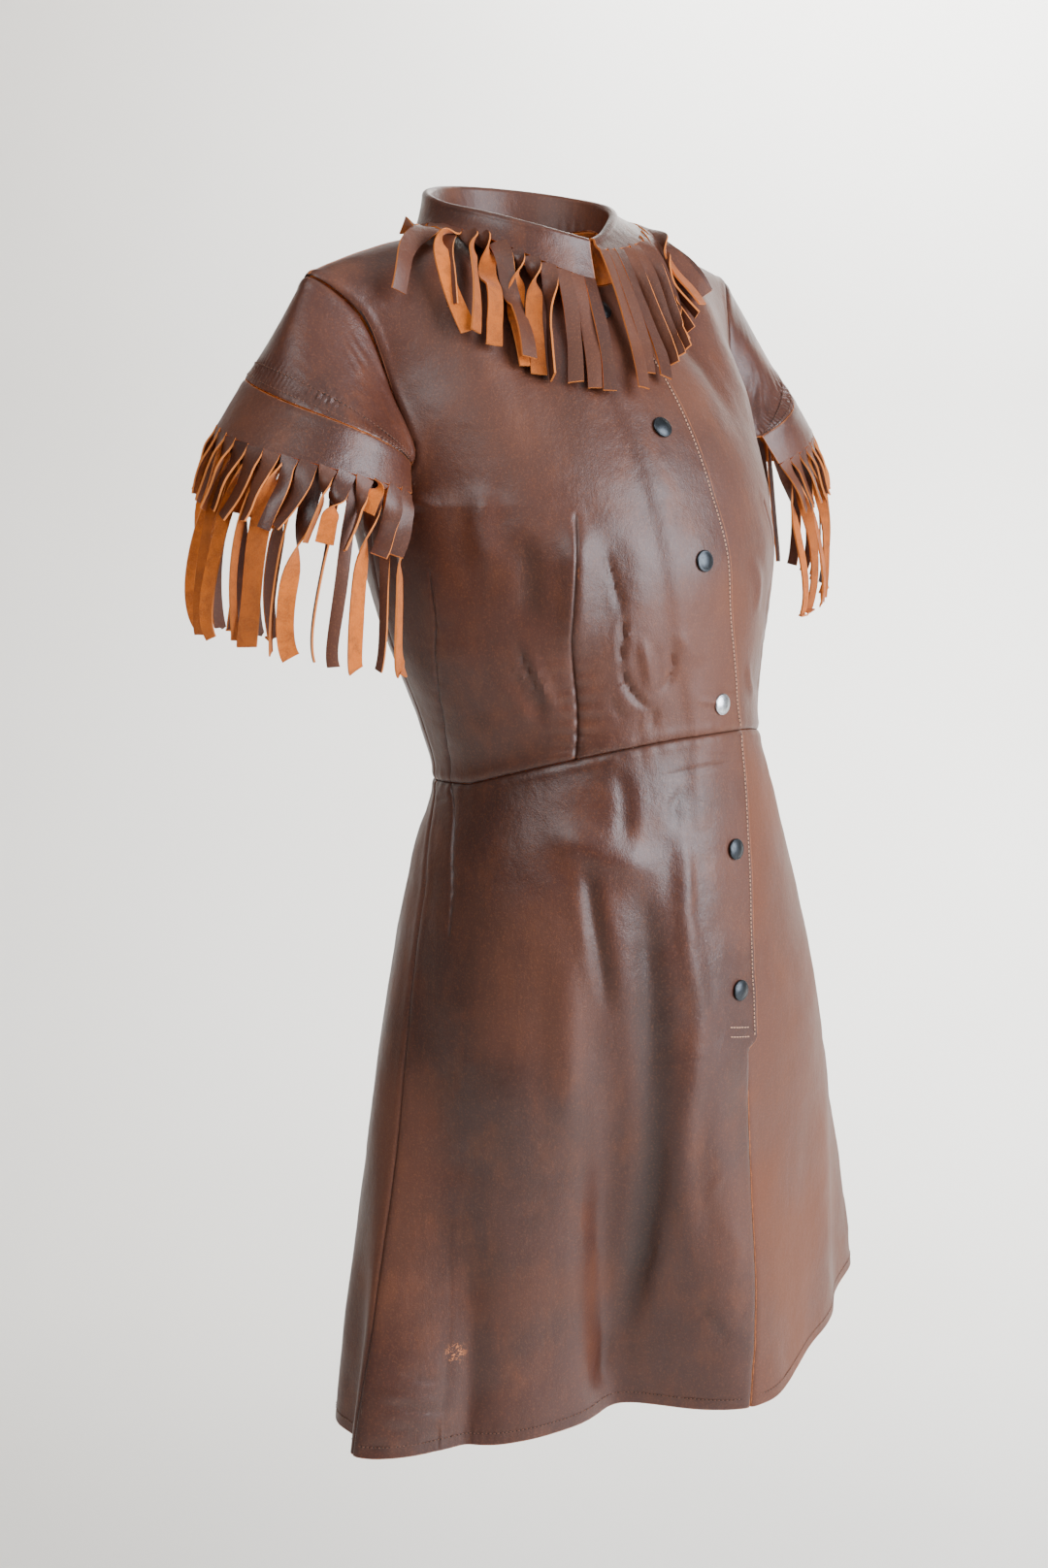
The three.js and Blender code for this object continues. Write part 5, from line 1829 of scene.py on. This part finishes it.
CAMERA_AZIMUTH = -44
CAMERA_DISTANCE = 1.64
CAMERA_HEIGHT = -0.043
IMAGE_HEIGHT = 1616
FOCAL_PIXELS = 2300
HORIZON = 300  # the horizon's pixel row
SENSOR = 36
FLOOR_Z = -1.42


def aim(obj, target):
    obj.rotation_euler = (Vector(target) - obj.location).to_track_quat("-Z", "Y").to_euler()


# Lights: name, place, target, size across and up in metres, watts, colour and spread in degrees.
LIGHTS = table(
    "name place target across up power color spread",
    [
        ["window", (0.75, -2.6, 0.35), (0.05, -0.1, -0.4), 2.1, 2.3, 200, (0.88, 0.92, 1.0), 180],
        ["left_window", (-2.1, -0.6, 1.3), (0, 0, -0.35), 1.5, 1.5, 44, (0.94, 0.97, 1.0), 180],
        ["top", (0.1, -0.3, 2.0), (0, 0, -0.2), 2.0, 2.0, 14, (1.0, 1.0, 1.0), 180],
        ["wall_right", (1.4, 0.5, 1.9), (2.6, 0.9, 0.0), 1.5, 1.0, 125, (0.97, 0.99, 1.0), 110],
        ["wall_left", (0.0, 1.0, 1.7), (0.7, 2.6, -0.1), 1.5, 1.0, 14, (1.0, 0.9, 0.78), 110],
    ],
)


class DRESS_OT_stage(bpy.types.Operator):
    """Camera, soft studio light, and a pale floor that sweeps up behind"""

    bl_idname = "dress.stage"
    bl_label = "Stage"

    def execute(self, context):
        scene = context.scene
        camera = bpy.data.objects.new("camera", bpy.data.cameras.new("camera"))
        scene.collection.objects.link(camera)
        a = math.radians(CAMERA_AZIMUTH)
        camera.location = (
            math.sin(a) * CAMERA_DISTANCE,
            -math.cos(a) * CAMERA_DISTANCE,
            CAMERA_HEIGHT,
        )
        pitch = math.atan((IMAGE_HEIGHT / 2 - HORIZON) / FOCAL_PIXELS)
        camera.rotation_euler = (math.pi / 2 - pitch, 0, a)
        camera.data.sensor_width = SENSOR
        camera.data.lens = FOCAL_PIXELS / IMAGE_HEIGHT * SENSOR
        camera.data.clip_end = 50
        scene.camera = camera
        for row in LIGHTS:
            light = bpy.data.lights.new(row["name"], "AREA")
            light.shape = "RECTANGLE"
            light.size, light.size_y = row["across"], row["up"]
            light.energy = row["power"]
            light.color = row["color"]
            light.spread = math.radians(row["spread"])
            obj = bpy.data.objects.new(row["name"], light)
            scene.collection.objects.link(obj)
            obj.location = row["place"]
            aim(obj, row["target"])
        world = bpy.data.worlds.new("studio")
        world.use_nodes = True
        background = world.node_tree.nodes["Background"]
        background.inputs["Color"].default_value = (1.0, 0.98, 0.95, 1)
        background.inputs["Strength"].default_value = 0.18
        scene.world = world
        self.sweep(context, a)
        return {"FINISHED"}

    def sweep(self, context, azimuth):
        """A floor that turns up into a backdrop, square to the camera."""
        radius, depth, height, width = 1.2, 2.4, 4.0, 7.0
        turn = np.linspace(0, math.pi / 2, 24)
        run = [[-6.0, 0.0], [depth - radius, 0.0]]
        run += [[depth - radius + radius * math.sin(t), radius - radius * math.cos(t)] for t in turn[1:]]
        run += [[depth, height]]
        away = np.array([-math.sin(azimuth), math.cos(azimuth)])
        side = np.array([math.cos(azimuth), math.sin(azimuth)])
        points = []
        for out, up in run:
            for x in (-width, width):
                ground = away * out + side * x
                points.append([ground[0] / MM, ground[1] / MM, (FLOOR_Z + up) / MM])
        faces = grid_faces(len(run), 2).tolist()
        m = Shader("pale_floor")
        tone = m.noise(600, 2, 0.5)
        pale = context.scene.dress_colours.floor
        color = m.blend(tone.between(0.3, 0.7) * 0.15, pale, linear((214, 208, 198)))
        finish = [m.surface(base_color=color, roughness=0.8)]
        obj = new_mesh("floor", points, faces, [0] * len(faces), finish)


STEPS = [
    ("stage", "Stage"),
    ("fronts", "Fronts"),
    ("backs", "Backs"),
    ("collar", "Collar"),
    ("sleeves", "Sleeves"),
    ("collar_fringe", "Collar fringe"),
    ("sleeve_fringe", "Sleeve fringe"),
    ("stitching", "Stitching"),
    ("snaps", "Snaps"),
    ("declare", "Sheet sizes"),
]


class DRESS_PT_panel(bpy.types.Panel):
    """Lists the pieces of the dress"""

    bl_label = "Leather dress"
    bl_idname = "DRESS_PT_panel"
    bl_space_type = "VIEW_3D"
    bl_region_type = "UI"
    bl_category = "Dress"

    def draw(self, context):
        for name, label in STEPS:
            self.layout.operator("dress." + name, text=label)
        for group in (context.scene.dress_sizes, context.scene.dress_colours):
            for key in group.__annotations__:
                self.layout.prop(group, key)


CLASSES = [
    DressSizes,
    DressColours,
    DRESS_OT_stage,
    DRESS_OT_fronts,
    DRESS_OT_backs,
    DRESS_OT_collar,
    DRESS_OT_sleeves,
    DRESS_OT_collar_fringe,
    DRESS_OT_sleeve_fringe,
    DRESS_OT_stitching,
    DRESS_OT_snaps,
    DRESS_OT_declare,
    DRESS_PT_panel,
]


def register():
    for c in CLASSES:
        bpy.utils.register_class(c)
    bpy.types.Scene.dress_sizes = bpy.props.PointerProperty(type=DressSizes)
    bpy.types.Scene.dress_colours = bpy.props.PointerProperty(type=DressColours)


def unregister():
    del bpy.types.Scene.dress_sizes
    del bpy.types.Scene.dress_colours
    for c in reversed(CLASSES):
        bpy.utils.unregister_class(c)


def main():
    register()
    for name, label in STEPS:
        getattr(bpy.ops.dress, name)()


if __name__ == "__main__":
    main()
